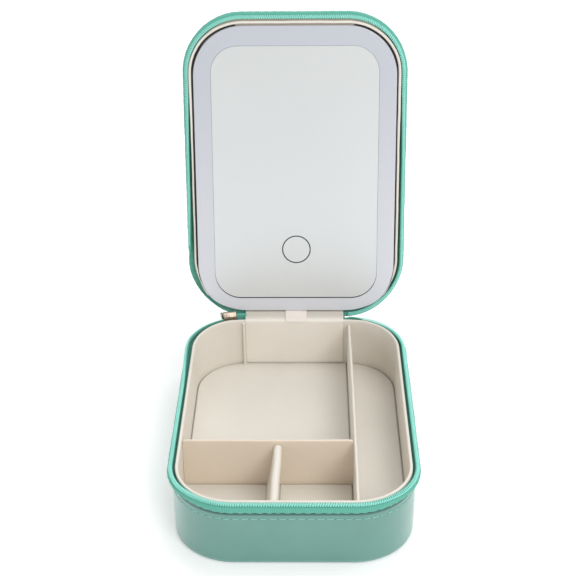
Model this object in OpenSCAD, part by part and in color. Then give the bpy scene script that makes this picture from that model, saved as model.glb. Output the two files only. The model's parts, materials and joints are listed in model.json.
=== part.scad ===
// Vanity box with a lighted mirror in its lid, closed by a zip that runs round the case.
// The origin is the centre of the underside. +Z is up and the hinge is at the back, on +Y.
// Lid pieces are drawn shut, over the opening plane, and then turned back about the hinge line.

/* [Case] */
// Width over the zip tapes
case_w = 160; // [140:1:200]
// Depth over the zip tapes, front to back
case_d = 224; // [190:1:260]
// Height of the opening plane above the table
base_h = 48; // [44:1:80]
// Depth of the lid above the opening plane
lid_h = 27; // [25:0.5:45]
// Plan radius of the corners over the zip tapes
corner_r = 43; // [36:0.5:52]
// How far the lid opens, from shut
open_angle = 101.5; // [92:0.5:110]

/* [Shell] */
// Thickness of the outer leather
leather_t = 0.9; // [0.6:0.1:1.2]
// Distance from the line of the zip tapes in to the leather walls
cover_inset = 3.4; // [3:0.1:4.5]
// Distance from the opening plane to the cut edges of the leather walls
cover_drop = 7.2; // [6.8:0.1:9]
// Outer rounding of the case at the table
base_edge_r = 2; // [1.4:0.1:3]
// Outer rounding of the case at the top of the lid
lid_edge_r = 4; // [2:0.5:6]
// Width of the leather folded in over the floor and the lid top
fold_w = 7; // [4:0.5:12]
// Thickness of the board in the walls
wall_board_t = 0.9; // [0.6:0.1:1.2]
// Thickness of the boards in the floor and the lid top
flat_board_t = 2; // [1.2:0.1:3]
// Thickness of the padding under the leather of the lid top
lid_foam_t = 2.4; // [1:0.1:4]
// Clearance between layers that are glued or sewn together
glue_gap = 0.1; // [0.05:0.01:0.15]

/* [Lining] */
// Thickness of the lining leather
lining_t = 0.5; // [0.3:0.05:0.7]
// Distance from the opening plane to the lined rims
rim_drop = 0.8; // [0.7:0.05:1.2]
// Length of lining turned down outside the rims
rim_turn = 4.8; // [3:0.1:4.9]
// Extra distance of the base lining from the tapes
base_set_back = 0.7; // [0.6:0.05:1.5]
// Thickness of the filler that lifts the tray floor
floor_filler_t = 4.2; // [2:0.1:8]
// Thickness of the loose floor pads
floor_pad_t = 2.2; // [1.4:0.1:4]
// Gap around each floor pad
pad_gap = 0.7; // [0.4:0.05:1.2]

/* [Dividers] */
// Thickness of the long and cross dividers
divider_t = 1.8; // [1.2:0.1:3]
// Distance from the opening plane down to the dividers
divider_drop = 2.5; // [1.5:0.1:12]
// Sideways place of the long divider
long_divider_x = 39.5; // [15:0.5:50]
// Place of the cross divider, from the middle towards the back
cross_divider_y = -41.6; // [-60:0.2:40]
// Sideways place of the folded divider's crest
middle_divider_x = -10.4; // [-16:0.1:8]
// Width over the crest of the folded divider
middle_crest_w = 5.2; // [3.6:0.1:8]
// Distance from the opening plane down to the crest
middle_drop = 5; // [3:0.1:12]
// Spread of the folded divider's left foot from its crest
middle_foot_left = 8.6; // [4:0.1:12]
// Offset of the folded divider's right foot from its crest
middle_foot_right = 0.8; // [0:0.1:8]
// Width of the empty rail on the back wall
rail_w = 2; // [1.4:0.1:3]
// Reach of the empty rail from the back wall
rail_reach = 3; // [2:0.1:5]

/* [Zip] */
// Thickness of the zip tapes
tape_t = 0.5; // [0.3:0.05:0.7]
// Length of tape sewn in behind the leather
tape_tuck = 9; // [6:0.5:12]
// Distance from the opening plane to the fullest line of the tapes
tape_bulge = 4.6; // [4:0.1:5]
// Spacing of the zip teeth
tooth_pitch = 2.5; // [2.2:0.1:4]
// Reach of the teeth across the tape
tooth_reach = 1.55; // [1.2:0.05:1.8]
// Width of a tooth at its root
tooth_root_w = 0.9; // [0.6:0.05:1.2]
// Width of a tooth at its head
tooth_head_w = 1.3; // [0.8:0.05:1.6]
// Height of the teeth
tooth_h = 1.9; // [1.4:0.05:2.2]
// Length of closed chain between the hinge and the slider, as an angle round the corner
chain_end_angle = 7.5; // [4:0.5:9]
// Clearance between the slider and the chain
slider_gap = 0.2; // [0.15:0.05:0.25]
// Thickness of the slider's outer plate
slider_outer_t = 1.15; // [0.8:0.05:1.5]
// Thickness of the slider's inner plate
slider_inner_t = 0.6; // [0.4:0.05:0.65]
// Height of the slider's outer plate at its mouth
slider_h = 8.6; // [7:0.1:9]
// Height of the slider's outer plate at its tail
slider_tail_h = 6.7; // [5:0.1:7]
// Height of the slider's inner plate at its mouth
slider_inner_h = 6.2; // [4:0.1:6.4]
// Height of the slider's inner plate at its tail
slider_inner_tail_h = 3.1; // [2:0.1:3.2]
// Length of the slider, as an angle round the corner
slider_angle = 16.4; // [14:0.2:18]
// Place of the slider at rest, as an angle round the back left corner
slider_rest_angle = 18.8; // [18:0.1:19.5]
// Diameter of the slider's cross pin
pin_d = 1.3; // [1:0.05:1.6]
// Running clearance of the pull on its pin, on the radius
pin_gap = 0.1; // [0.05:0.01:0.1]
// Length of the pull
pull_l = 27; // [18:1:32]
// Width of the pull
pull_w = 6.6; // [6:0.1:8]
// Thickness of the pull
pull_t = 1.4; // [1:0.1:1.8]

/* [Hinge] */
// Distance from the ends of the hinge strips to the start of the corner rounds
hinge_end_gap = 0.4; // [0.3:0.1:12]
// Sideways place of the inner hinge strip
hinge_strip_x = -1.2; // [-1.2:0.1:1.2]
// Clearance of the hinge strips from the opening plane
hinge_gap = 0.2; // [0.15:0.05:0.3]
// Height of the inner hinge strip's lower edge above the floor pads
hinge_strip_lift = 1; // [0.5:0.1:10]
// Length of the outer hinge leather sewn to each wall
hinge_leather_l = 14; // [8:0.5:16]

/* [Light panel] */
// Distance from the line of the zip tapes to the panel, at the sides
panel_side_inset = 7.5; // [7.2:0.1:12]
// Distance from the line of the zip tapes to the panel, at the hinge
panel_back_inset = 3.3; // [3.3:0.1:6]
// Distance from the line of the zip tapes to the panel, at the front
panel_front_inset = 9.4; // [7.6:0.1:14]
// Recess of the panel's face from the opening plane
panel_recess = 0.9; // [0.8:0.05:1.5]
// Thickness of the light diffuser
diffuser_t = 3.6; // [3.2:0.1:5]
// Rounding of the diffuser's front edge
diffuser_edge_r = 0.8; // [0.4:0.1:1.4]
// Width of the lit band beside the mirror
band_side = 12.6; // [8:0.1:20]
// Width of the lit band at the hinge side
band_back = 10.8; // [8:0.1:20]
// Width of the lit band at the front side
band_front = 14.2; // [8:0.1:20]
// Corner radius of the mirror
mirror_r = 19; // [8:0.5:24]
// Thickness of the mirror
mirror_t = 2; // [1.2:0.1:2.2]
// How far the mirror stands proud of the diffuser
mirror_proud = 0.2; // [0:0.05:0.4]
// Depth of the lamp housing behind the diffuser
housing_depth = 8.8; // [8.6:0.1:12]
// Wall of the lamp housing
housing_wall = 1.6; // [1.2:0.1:2.4]
// Distance of the touch ring's centre from the hinge line
touch_y = 51.8; // [40:0.1:60]
// Diameter of the touch ring
touch_d = 21; // [12:0.5:26]
// Line width of the touch ring
touch_line = 0.5; // [0.3:0.05:1]
// Width of the pull tab under the panel
tab_w = 16.7; // [8:0.1:30]
// Number of lamps round the mirror
lamp_count = 40; // [16:2:60]

/* [Hidden] */

// Colours of the finishes
leather_green = [0.45, 0.66, 0.61];
tape_green = [0.49, 0.82, 0.75];
lining_cream = [0.91, 0.87, 0.81];
board_grey = [0.62, 0.58, 0.52];
foam_white = [0.93, 0.93, 0.91];
milk_white = [0.86, 0.87, 0.9];
mirror_grey = [0.8, 0.83, 0.83];
ink_grey = [0.25, 0.25, 0.27];
slider_metal = [0.72, 0.68, 0.62];
copper = [0.8, 0.52, 0.32];
board_green = [0.1, 0.38, 0.24];
lamp_yellow = [0.95, 0.9, 0.62];
cell_silver = [0.7, 0.72, 0.75];

// Facets of round walls and of small round features
round_fn = 96;
small_fn = 32;
// Longer than any piece, for cuts that run right through
far = case_w + case_d + base_h + lid_h;
// Overlap of solids that are fused into one piece
fuse = 0.02;

// Centres of the corner rounds, and half of the outer depth
corner_x = case_w / 2 - corner_r;
corner_y = case_d / 2 - corner_r;
half_d = case_d / 2;
hinge_w = 2 * (corner_x - hinge_end_gap);

// Layers of the walls, as distances in from the line of the tapes
leather_in = cover_inset + leather_t;
tuck_out = leather_in + glue_gap;
tuck_in = tuck_out + tape_t;
lid_board_out = tuck_in + glue_gap;
lid_board_in = lid_board_out + wall_board_t;
lid_face = lid_board_in + glue_gap + lining_t;
base_board_out = lid_board_out + base_set_back;
base_board_in = base_board_out + wall_board_t;
base_face = base_board_in + glue_gap + lining_t;
rim_r = wall_board_t / 2 + glue_gap + lining_t;

// Heights in the base
cover_bottom = leather_t + glue_gap;
base_board_z = cover_bottom + leather_t + glue_gap;
filler_z = base_board_z + flat_board_t + glue_gap;
pad_z = filler_z + floor_filler_t + glue_gap;
floor_z = pad_z + floor_pad_t;
divider_z = base_h - divider_drop;
tuck_end = cover_drop + tape_tuck;

// Heights in the lid, as distances from the opening plane
lid_fold_t = lid_h - leather_t - glue_gap;
lid_foam_d = lid_fold_t - leather_t - glue_gap;
lid_board_d = lid_foam_d - lid_foam_t - glue_gap;
lid_inside_d = lid_board_d - flat_board_t - glue_gap;
panel_back_d = panel_recess + diffuser_t;
housing_d = panel_back_d + glue_gap;
housing_back_d = housing_d + housing_depth;
tab_d = panel_back_d + glue_gap;
strip_d = tab_d + lining_t + glue_gap;
pocket_d = strip_d + lining_t + glue_gap;

// Outline of the light panel and of the mirror, shut and seen from above
panel_w = case_w - 2 * panel_side_inset;
panel_l = case_d - panel_back_inset - panel_front_inset;
panel_y = (panel_front_inset - panel_back_inset) / 2;
panel_r = corner_r - panel_side_inset;
panel_clear_angle = asin((panel_side_inset - lid_face - 2 * glue_gap) / (panel_side_inset - panel_back_inset));
mirror_w = panel_w - 2 * band_side;
mirror_l = panel_l - band_back - band_front;
mirror_y = panel_y + (band_front - band_back) / 2;
housing_inset = panel_side_inset + 0.7;
housing_in = housing_inset + housing_wall;
touch_place = [0.5, half_d - touch_y];

// Back of the tapes behind the teeth, and the chain
tape_back = tooth_reach + 0.2 + tape_t / 2 + 0.05;
tooth_out = 0.2;
tooth_in = tooth_out + tooth_reach;
chain_r = corner_r - (tooth_out + tooth_in) / 2;
chain_l = 3 * chain_r * PI / 2 + chain_r * PI / 2 + 4 * corner_y + 2 * corner_x;
chain_margin = 1.5;
upper_start_angle = slider_rest_angle + slider_angle / 2 + 2;
upper_start = chain_r * upper_start_angle * PI / 180;
chain_end_start = 2.2;

// Outer limits of the slider and the place of its pin, out from the line of the tapes
slider_plate_out = slider_gap + 0.15;
slider_face_out = slider_plate_out + slider_outer_t;
slider_back_in = tape_back + tape_t / 2 + slider_gap;
slider_neck_h = 1;
knuckle_r = pin_d / 2 + pin_gap + 0.6;
pin_out = slider_face_out + knuckle_r + 0.5;
pin_half = pull_w / 2 + pull_t;
pull_shoulder = 0.9 * pull_w;

// Circuit board, its screws and the cell, shut and seen from above
board_w = 36;
board_l = 50;
board_t = 1.2;
board_inset = 11;
board_size = [board_w, board_l, board_t];
board_place = [touch_place[0], half_d - board_inset - board_l / 2];
board_d = housing_d + 3.4;
board_hole_edge = 3.5;
board_hole_x = board_w / 2 - board_hole_edge;
board_hole_y = board_l / 2 - board_hole_edge;
screw_d = 2;
boss_d = 5;
socket_w = 9;
socket_l = 7.4;
socket_h = 3.2;
socket_size = [socket_w, socket_l, socket_h];
socket_x = board_w / 6;
cell_w = 58;
cell_l = 40;
cell_h = 5;
cell_size = [cell_w, cell_l, cell_h];
cell_y = -10;
lamp_inset = housing_in + 3.6;

// Rounded outline of the opening plane, moved in from the line of the tapes
module outline(inset) {
    square([case_w - 2 * corner_r, case_d - 2 * inset], center = true);
    square([case_w - 2 * inset, case_d - 2 * corner_r], center = true);
    for (x = [-1, 1], y = [-1, 1])
        translate([x * corner_x, y * corner_y])
            circle(corner_r - inset, $fn = round_fn);
}

// Rounded rectangle about its own middle
module rounded_plate(w, l, r) {
    square([w - 2 * r, l], center = true);
    square([w, l - 2 * r], center = true);
    for (x = [-1, 1], y = [-1, 1])
        translate([x * (w / 2 - r), y * (l / 2 - r)])
            circle(r, $fn = round_fn);
}

// Upright wall between two distances from the line of the tapes
module wall(out, in, z0, z1) {
    translate([0, 0, z0])
        linear_extrude(z1 - z0)
            difference() {
                outline(out);
                outline(in);
            }
}

// Flat sheet that fills the outline
module sheet(inset, z0, t) {
    translate([0, 0, z0])
        linear_extrude(t)
            outline(inset);
}

// Sweeps a section round the case. Its x runs outward from the line of the tapes, its y is height.
module round_case() {
    for (x = [0, 1], y = [0, 1])
        mirror([x, 0, 0])
            mirror([0, y, 0])
                translate([corner_x, corner_y, 0])
                    rotate_extrude(angle = 90, $fn = round_fn)
                        translate([corner_r, 0])
                            children();
    for (y = [0, 1])
        mirror([0, y, 0])
            translate([-corner_x, half_d, 0])
                rotate([90, 0, 90])
                    linear_extrude(2 * corner_x)
                        children();
    for (x = [0, 1])
        mirror([x, 0, 0])
            translate([case_w / 2, corner_y, 0])
                rotate([90, 0, 0])
                    linear_extrude(2 * corner_y)
                        children();
}

// Section turned a part of the way round the back left corner, from an angle past straight back
module round_back_corner(from, angle) {
    translate([-corner_x, corner_y, 0])
        rotate([0, 0, 90 + from])
            rotate_extrude(angle = angle, $fn = 4 * round_fn)
                translate([corner_r, 0])
                    children();
}

// Piece extruded sideways from a section whose x is outward at the back and whose y is height
module across_back(x0, x1) {
    translate([x0, half_d, 0])
        rotate([90, 0, 90])
            linear_extrude(x1 - x0)
                children();
}

// Turns a shut lid piece back about the hinge line
module opened() {
    translate([0, half_d, base_h])
        rotate([-open_angle, 0, 0])
            translate([0, -half_d, -base_h])
                children();
}

// Height of a distance t from the opening plane, below it in the base and above it in the lid
function level(side, t) = base_h + side * t;

// Box in a section between two distances from the tapes and two from the opening plane
module section_box(side, out, in, t0, t1) {
    z = side > 0 ? level(side, t0) : level(side, t1);
    translate([-in, z])
        square([in - out, t1 - t0]);
}

// Unit normal of the line from a to b
function normal(a, b) = [a[1] - b[1], b[0] - a[0]] / norm(b - a);

// Corner of a ribbon's edge at point i of its centre line
function mitre(path, i) =
    let (n = len(path) - 1)
    let (a = normal(path[max(i - 1, 0)], path[max(i - 1, 0) + 1]))
    let (b = normal(path[min(i, n - 1)], path[min(i, n - 1) + 1]))
    (a + b) / (1 + a * b);

// Outline of a ribbon of even thickness about a centre line
function ribbon(path, t) = [
    for (i = [0:len(path) - 1]) path[i] + mitre(path, i) * t / 2,
    for (i = [len(path) - 1:-1:0]) path[i] - mitre(path, i) * t / 2
];

// Point and outward direction after a length s along the outline of radius r, from the hinge's left end
function route(s, r) =
    let (q = r * PI / 2, a = 2 * corner_y, b = 2 * corner_x, turn = 180 / PI / r)
    s < q ? bend(-1, 1, 90 + s * turn, r) :
    s < q + a ? [-corner_x - r, corner_y - (s - q), 180] :
    s < 2 * q + a ? bend(-1, -1, 180 + (s - q - a) * turn, r) :
    s < 2 * q + a + b ? [-corner_x + (s - 2 * q - a), -corner_y - r, 270] :
    s < 3 * q + a + b ? bend(1, -1, 270 + (s - 2 * q - a - b) * turn, r) :
    s < 3 * q + 2 * a + b ? [corner_x + r, -corner_y + (s - 3 * q - a - b), 0] :
    bend(1, 1, (s - 3 * q - 2 * a - b) * turn, r);

// Point on the corner round of sides x and y at an angle
function bend(x, y, angle, r) =
    [x * corner_x + r * cos(angle), y * corner_y + r * sin(angle), angle];

// Sets a piece at a length along the outline, its x turned outward
module at_route(s, r) {
    p = route(s, r);
    translate([p[0], p[1], 0])
        rotate([0, 0, p[2]])
            children();
}

// Leather wall with a rounded edge and a fold at its closed end
module cover_wall(side, depth, edge_r) {
    z = level(side, depth);
    dz = side > 0 ? -1 : 0;
    round_case() {
        section_box(side, cover_inset, leather_in, cover_drop, depth - edge_r);
        translate([-cover_inset - edge_r - fold_w, z + dz * leather_t])
            square([fold_w, leather_t]);
        translate([-cover_inset - edge_r, z - side * edge_r])
            intersection() {
                difference() {
                    circle(edge_r, $fn = round_fn);
                    circle(edge_r - leather_t, $fn = round_fn);
                }
                translate([0, side > 0 ? 0 : -edge_r])
                    square(edge_r);
            }
    }
}

// Lining wrapped over the rim: inner face, round rim and outer turn
module lining_wrap(side, out, face, depth) {
    top = rim_drop + rim_r;
    round_case() {
        section_box(side, face - lining_t, face, top, depth);
        section_box(side, out - glue_gap - lining_t, out - glue_gap, top, rim_drop + rim_turn);
        translate([-face + rim_r, level(side, top)])
            intersection() {
                difference() {
                    circle(rim_r, $fn = round_fn);
                    circle(rim_r - lining_t, $fn = round_fn);
                }
                translate([-rim_r, side > 0 ? -rim_r : 0])
                    square([2 * rim_r, rim_r]);
            }
    }
}

// Gap in the zip at the hinge, and on to the slider's mouth in the upper half
module hinge_break(left) {
    translate([-left, corner_y, -far])
        cube([left + corner_x + 0.7, far, 3 * far]);
}

// Centre line of a tape from its sewn edge to the teeth
function tape_path(side) =
    let (tuck = -(tuck_out + tape_t / 2))
    [for (p = [[tuck, tuck_end], [tuck, cover_drop - 0.45], [-0.9 - tape_t / 2, tape_bulge + 1.1],
               [-tape_t / 2, tape_bulge], [-0.8 - tape_t / 2, tape_bulge - 1.1],
               [-tape_back, tape_bulge - 1.7], [-tape_back, rim_drop]])
        [p[0], level(side, p[1])]];

module zip_tape(side, left) {
    difference() {
        round_case()
            polygon(ribbon(tape_path(side), tape_t));
        hinge_break(left);
    }
}

// One tooth, widest at its head, standing on the root cord
module tooth(side) {
    root = level(side, rim_drop + tooth_h);
    head = level(side, rim_drop);
    translate([-tooth_reach / 2, 0, 0])
        rotate([90, 0, 90])
            linear_extrude(tooth_reach)
                polygon([[-tooth_root_w / 2, root], [tooth_root_w / 2, root],
                         [tooth_head_w / 2, head], [-tooth_head_w / 2, head]]);
}

// Root cord and its teeth, the two sides half a pitch apart
module zip_teeth(side, first, left) {
    half = side > 0 ? tooth_pitch / 2 : 0;
    count = floor((chain_l - 2 * chain_margin - half) / tooth_pitch);
    difference() {
        round_case()
            section_box(side, tooth_out + 0.5, tooth_in - 0.05, rim_drop + 0.9, rim_drop + tooth_h);
        hinge_break(left);
    }
    for (i = [0:count])
        if (chain_margin + half + i * tooth_pitch > first)
            at_route(chain_margin + half + i * tooth_pitch, chain_r)
                tooth(side);
}

// Floor pad cut to the lining and to a box given by its left, right, front and back
module floor_pad(x0, x1, y0, y1) {
    edge = 0.4;
    color(lining_cream)
        hull()
            for (i = [0, 1])
                translate([0, 0, pad_z + i * (floor_pad_t - edge)])
                    linear_extrude(i == 0 ? floor_pad_t - edge : edge)
                        intersection() {
                            outline(base_face + pad_gap + i * edge);
                            translate([x0 + i * edge, y0 + i * edge])
                                square([x1 - x0 - 2 * i * edge, y1 - y0 - 2 * i * edge]);
                        }
}

// Space inside the base lining that a divider may fill
module tray_space() {
    translate([0, 0, pad_z])
        linear_extrude(base_h)
            outline(base_face + glue_gap);
}

// Section of a divider: flat sides and a round top
module divider_section() {
    translate([-divider_t / 2, pad_z])
        square([divider_t, divider_z - divider_t / 2 - pad_z]);
    translate([0, divider_z - divider_t / 2])
        circle(divider_t / 2, $fn = small_fn);
}

module base_cover_wall() {
    color(leather_green)
        cover_wall(-1, base_h - cover_bottom, base_edge_r);
}

module base_cover_bottom() {
    color(leather_green)
        sheet(cover_inset + 1, 0, leather_t);
}

module base_side_padding() {
    color(foam_white)
        wall(tuck_out, base_board_out - glue_gap, filler_z, base_h - tuck_end - glue_gap);
}

module base_wall_board() {
    color(board_grey)
        wall(base_board_out, base_board_in, filler_z, base_h - rim_drop - rim_r);
}

module base_floor_board() {
    color(board_grey)
        sheet(cover_inset + base_edge_r, base_board_z, flat_board_t);
}

module base_floor_filler() {
    color(foam_white)
        sheet(base_face + glue_gap, filler_z, floor_filler_t);
}

module base_lining() {
    color(lining_cream)
        lining_wrap(-1, base_board_out, base_face, base_h - filler_z);
}

module floor_pad_large() {
    floor_pad(-far, long_divider_x - divider_t / 2 - pad_gap,
              cross_divider_y + divider_t / 2 + pad_gap, far);
}

module floor_pad_long() {
    floor_pad(long_divider_x + divider_t / 2 + pad_gap, far, -far, far);
}

module floor_pad_left() {
    floor_pad(-far, middle_divider_x - middle_foot_left - pad_gap,
              -far, cross_divider_y - divider_t / 2 - pad_gap);
}

module floor_pad_right() {
    floor_pad(middle_divider_x + middle_foot_right + pad_gap,
              long_divider_x - divider_t / 2 - pad_gap,
              -far, cross_divider_y - divider_t / 2 - pad_gap);
}

module long_divider() {
    color(lining_cream)
        intersection() {
            tray_space();
            translate([long_divider_x, half_d, 0])
                rotate([90, 0, 0])
                    linear_extrude(case_d)
                        divider_section();
        }
}

module cross_divider() {
    color(lining_cream)
        intersection() {
            tray_space();
            translate([-case_w / 2, cross_divider_y, 0])
                rotate([90, 0, 90])
                    linear_extrude(case_w / 2 + long_divider_x - divider_t / 2 - glue_gap)
                        divider_section();
        }
}

// Section of the folded divider, drawn in by the thickness of its leather where hollow
module fold_section(inward) {
    r = middle_crest_w / 2 - inward;
    z = base_h - middle_drop - middle_crest_w / 2;
    foot = pad_z - inward;
    polygon([[-middle_foot_left + inward, foot], [middle_foot_right - inward, foot], [r, z], [-r, z]]);
    translate([0, z])
        circle(r, $fn = small_fn);
}

// Folded divider: one sheet brought up, over a round crest and down again
module middle_divider() {
    back = cross_divider_y - divider_t / 2 - glue_gap;
    front = -(half_d - base_face - glue_gap);
    round_end = middle_crest_w;
    color(lining_cream)
        intersection() {
            translate([middle_divider_x, back, 0])
                rotate([90, 0, 0])
                    linear_extrude(back - front)
                        difference() {
                            fold_section(0);
                            fold_section(2 * lining_t);
                        }
            rotate([90, 0, 90])
                linear_extrude(case_w, center = true) {
                    translate([front, 0])
                        square([back - front - round_end, base_h]);
                    translate([front, 0])
                        square([back - front, base_h - middle_drop - round_end]);
                    translate([back - round_end, base_h - middle_drop - round_end])
                        circle(round_end, $fn = round_fn);
                }
        }
}

// Empty rail on the back wall, a place for the long divider on the left
module divider_rail() {
    x = hinge_strip_x - hinge_w / 2 - glue_gap - rail_w / 2;
    y = half_d - base_face - glue_gap;
    top = base_h - 1.9;
    color(lining_cream)
        intersection() {
            tray_space();
            translate([x, y - rail_reach + rail_w / 2, floor_z + glue_gap]) {
                cylinder(top - floor_z - glue_gap, d = rail_w, $fn = small_fn);
                translate([-rail_w / 2, 0, 0])
                    cube([rail_w, rail_reach, top - floor_z - glue_gap]);
                cylinder(1.2, d = rail_w + 0.9, $fn = small_fn);
            }
        }
}

module lower_zip_tape() {
    color(tape_green)
        zip_tape(-1, corner_x + 0.7);
}

module lower_zip_teeth() {
    color(tape_green)
        zip_teeth(-1, 0, corner_x + 0.7);
}

// Closed end of the chain between the hinge and the slider
module zip_chain_end() {
    color(tape_green)
        round_back_corner(chain_end_start, chain_end_angle) {
            section_box(-1, tooth_out, tooth_in, -rim_drop - tooth_h + 0.2, rim_drop - glue_gap);
            section_box(-1, tooth_in - fuse, tape_back + tape_t / 2, -2 * rim_drop, rim_drop - glue_gap);
        }
}

// Inner hinge strip on the base: up the back wall and out over the rim
module hinge_strip_base() {
    in = base_face + glue_gap + lining_t;
    color(lining_cream)
        across_back(hinge_strip_x - hinge_w / 2, hinge_strip_x + hinge_w / 2) {
            section_box(-1, base_face + glue_gap, in, hinge_gap, base_h - floor_z - hinge_strip_lift);
            section_box(-1, 2 * hinge_gap, in, hinge_gap, hinge_gap + lining_t);
        }
}

// Inner hinge strip on the lid: in over the rim and behind the edge of the panel
module hinge_strip_lid() {
    drop = panel_back_inset - 2 * glue_gap - 2 * lining_t;
    color(lining_cream)
        opened()
            across_back(hinge_strip_x - hinge_w / 2, hinge_strip_x + hinge_w / 2) {
                section_box(1, 2 * hinge_gap, drop + lining_t, hinge_gap, hinge_gap + lining_t);
                section_box(1, drop, drop + lining_t, hinge_gap, strip_d + lining_t);
                section_box(1, drop, housing_inset - 0.2, strip_d, strip_d + lining_t);
            }
}

// Outer hinge leather: sewn to the wall and curved out to the hinge line
module hinge_leather(side) {
    out = cover_inset - glue_gap - leather_t / 2;
    edge = hinge_gap + lining_t + glue_gap;
    path = [[-out, cover_drop + hinge_leather_l], [-out, cover_drop],
            [-leather_t / 2 - hinge_gap, cover_drop - 2 * leather_t],
            [-leather_t / 2 - hinge_gap, edge]];
    color(leather_green)
        across_back(-hinge_w / 2, hinge_w / 2)
            polygon(ribbon([for (p = path) [p[0], level(side, p[1])]], leather_t));
}

module hinge_leather_base() {
    hinge_leather(-1);
}

module hinge_leather_lid() {
    opened()
        hinge_leather(1);
}

// Arched plate of the slider round the corner, with a wide mouth on the left and a narrow tail
module slider_plate(in, t, mouth_h, tail_h) {
    half = slider_angle / 2;
    end = corner_r * sin(half);
    nose = 0.8;
    intersection() {
        rotate([0, 0, 90 - half])
            rotate_extrude(angle = slider_angle, $fn = 4 * round_fn)
                translate([corner_r + in, base_h - mouth_h / 2])
                    square([t, mouth_h]);
        translate([0, 0, base_h])
            rotate([90, 0, 0])
                linear_extrude(far, center = true)
                    for (y = [0, 1])
                        mirror([0, y])
                            polygon([[-end - 1, -fuse], [-end - 1, mouth_h / 2 - nose],
                                     [nose - end, mouth_h / 2], [-end / 3, mouth_h / 2 - nose / 8],
                                     [end - nose, tail_h / 2], [end + 1, tail_h / 2 - nose],
                                     [end + 1, -fuse]]);
    }
}

// Sets the slider's own frame, straight back about the corner, at its place of rest
module at_slider() {
    translate([-corner_x, corner_y, 0])
        rotate([0, 0, slider_rest_angle])
            children();
}

// Slider: two plates round the chain, a neck in its mouth, and two ears with a pin for the pull
module zip_slider() {
    ear_t = 1.1;
    color(slider_metal)
        at_slider() {
            slider_plate(slider_plate_out, slider_outer_t, slider_h, slider_tail_h);
            slider_plate(-slider_back_in - slider_inner_t, slider_inner_t, slider_inner_h,
                         slider_inner_tail_h);
            rotate([0, 0, 90 + slider_angle / 2 - 6])
                rotate_extrude(angle = 4, $fn = 4 * round_fn)
                    translate([corner_r - slider_back_in - fuse, base_h - slider_neck_h / 2])
                        square([slider_back_in + slider_plate_out + 2 * fuse, slider_neck_h]);
            for (x = [-1, 1])
                translate([x * (pin_half - ear_t / 2), corner_r, base_h])
                    rotate([90, 0, 90])
                        linear_extrude(ear_t, center = true) {
                            translate([slider_plate_out, -knuckle_r])
                                square([pin_out - slider_plate_out, 2 * knuckle_r]);
                            translate([pin_out, 0])
                                circle(knuckle_r, $fn = small_fn);
                        }
            translate([-pin_half + ear_t / 2, corner_r + pin_out, base_h])
                rotate([0, 90, 0])
                    cylinder(2 * pin_half - ear_t, d = pin_d, $fn = small_fn);
        }
}

// Pull: a rolled knuckle on the slider's pin and a flat tongue with an eye
module zip_pull() {
    knuckle_w = 2 * pin_half - 2 * 1.1 - 2 * slider_gap;
    color(slider_metal)
        at_slider()
            translate([0, corner_r + pin_out, base_h])
                difference() {
                    union() {
                        rotate([0, 90, 0])
                            cylinder(knuckle_w, r = knuckle_r, center = true, $fn = small_fn);
                        translate([0, pull_t / 2, 0])
                            rotate([90, 0, 0])
                                linear_extrude(pull_t) {
                                    polygon([[-knuckle_w / 2, 0], [-knuckle_w / 2 + 0.9, -pull_shoulder],
                                             [-pull_w / 2, pull_w / 2 - pull_l],
                                             [pull_w / 2, pull_w / 2 - pull_l],
                                             [knuckle_w / 2 - 0.9, -pull_shoulder], [knuckle_w / 2, 0]]);
                                    translate([0, pull_w / 2 - pull_l])
                                        circle(pull_w / 2, $fn = round_fn);
                                }
                    }
                    rotate([0, 90, 0])
                        cylinder(2 * pull_w, d = pin_d + 2 * pin_gap, center = true, $fn = small_fn);
                    translate([0, pull_t, pull_w / 2 - pull_l])
                        rotate([90, 0, 0])
                            cylinder(2 * pull_t, d = pull_w * 0.5, $fn = small_fn);
                }
}

module lid_cover_wall() {
    color(leather_green)
        opened()
            cover_wall(1, lid_fold_t, lid_edge_r);
}

module lid_cover_top() {
    color(leather_green)
        opened()
            sheet(cover_inset + lid_edge_r - 1.5, level(1, lid_h - leather_t), leather_t);
}

module lid_side_padding() {
    color(foam_white)
        opened()
            wall(tuck_out, lid_board_out - glue_gap, level(1, tuck_end + glue_gap),
                 level(1, lid_fold_t - lid_edge_r - 0.2));
}

// Space cut for the panel and the hinge strip where they lie over the lid's walls
module panel_pocket() {
    translate([0, panel_y, base_h - 1])
        linear_extrude(pocket_d + 1)
            rounded_plate(panel_w + 1, panel_l + 1, panel_r + 0.5);
    translate([hinge_strip_x - hinge_w / 2 - 0.5, corner_y, base_h - 1])
        cube([hinge_w + 1, far, pocket_d + 1]);
}

module lid_wall_board() {
    color(board_grey)
        opened()
            difference() {
                wall(lid_board_out, lid_board_in, level(1, rim_drop + rim_r), level(1, lid_inside_d));
                panel_pocket();
            }
}

module lid_top_board() {
    color(board_grey)
        opened()
            sheet(lid_board_out, level(1, lid_board_d - flat_board_t), flat_board_t);
}

module lid_top_padding() {
    color(foam_white)
        opened()
            sheet(cover_inset + lid_edge_r + 0.2, level(1, lid_foam_d - lid_foam_t), lid_foam_t);
}

// The lining's rim stops where the panel comes out over it, and goes on behind the panel
module lid_lining() {
    color(lining_cream)
        opened()
            difference() {
                lining_wrap(1, lid_board_out, lid_face, lid_inside_d);
                translate([-far / 2, corner_y + (corner_r - lid_face) * sin(panel_clear_angle), base_h - 1])
                    cube([far, far, pocket_d + 1]);
            }
}

module panel_spacer_frame() {
    color(foam_white)
        opened()
            wall(lid_face + glue_gap, lid_face + 5, level(1, housing_back_d + glue_gap),
                 level(1, lid_inside_d));
}

module upper_zip_tape() {
    color(tape_green)
        opened()
            zip_tape(1, corner_x + corner_r * sin(upper_start_angle));
}

module upper_zip_teeth() {
    color(tape_green)
        opened()
            zip_teeth(1, upper_start, corner_x + corner_r * sin(upper_start_angle));
}

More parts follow.
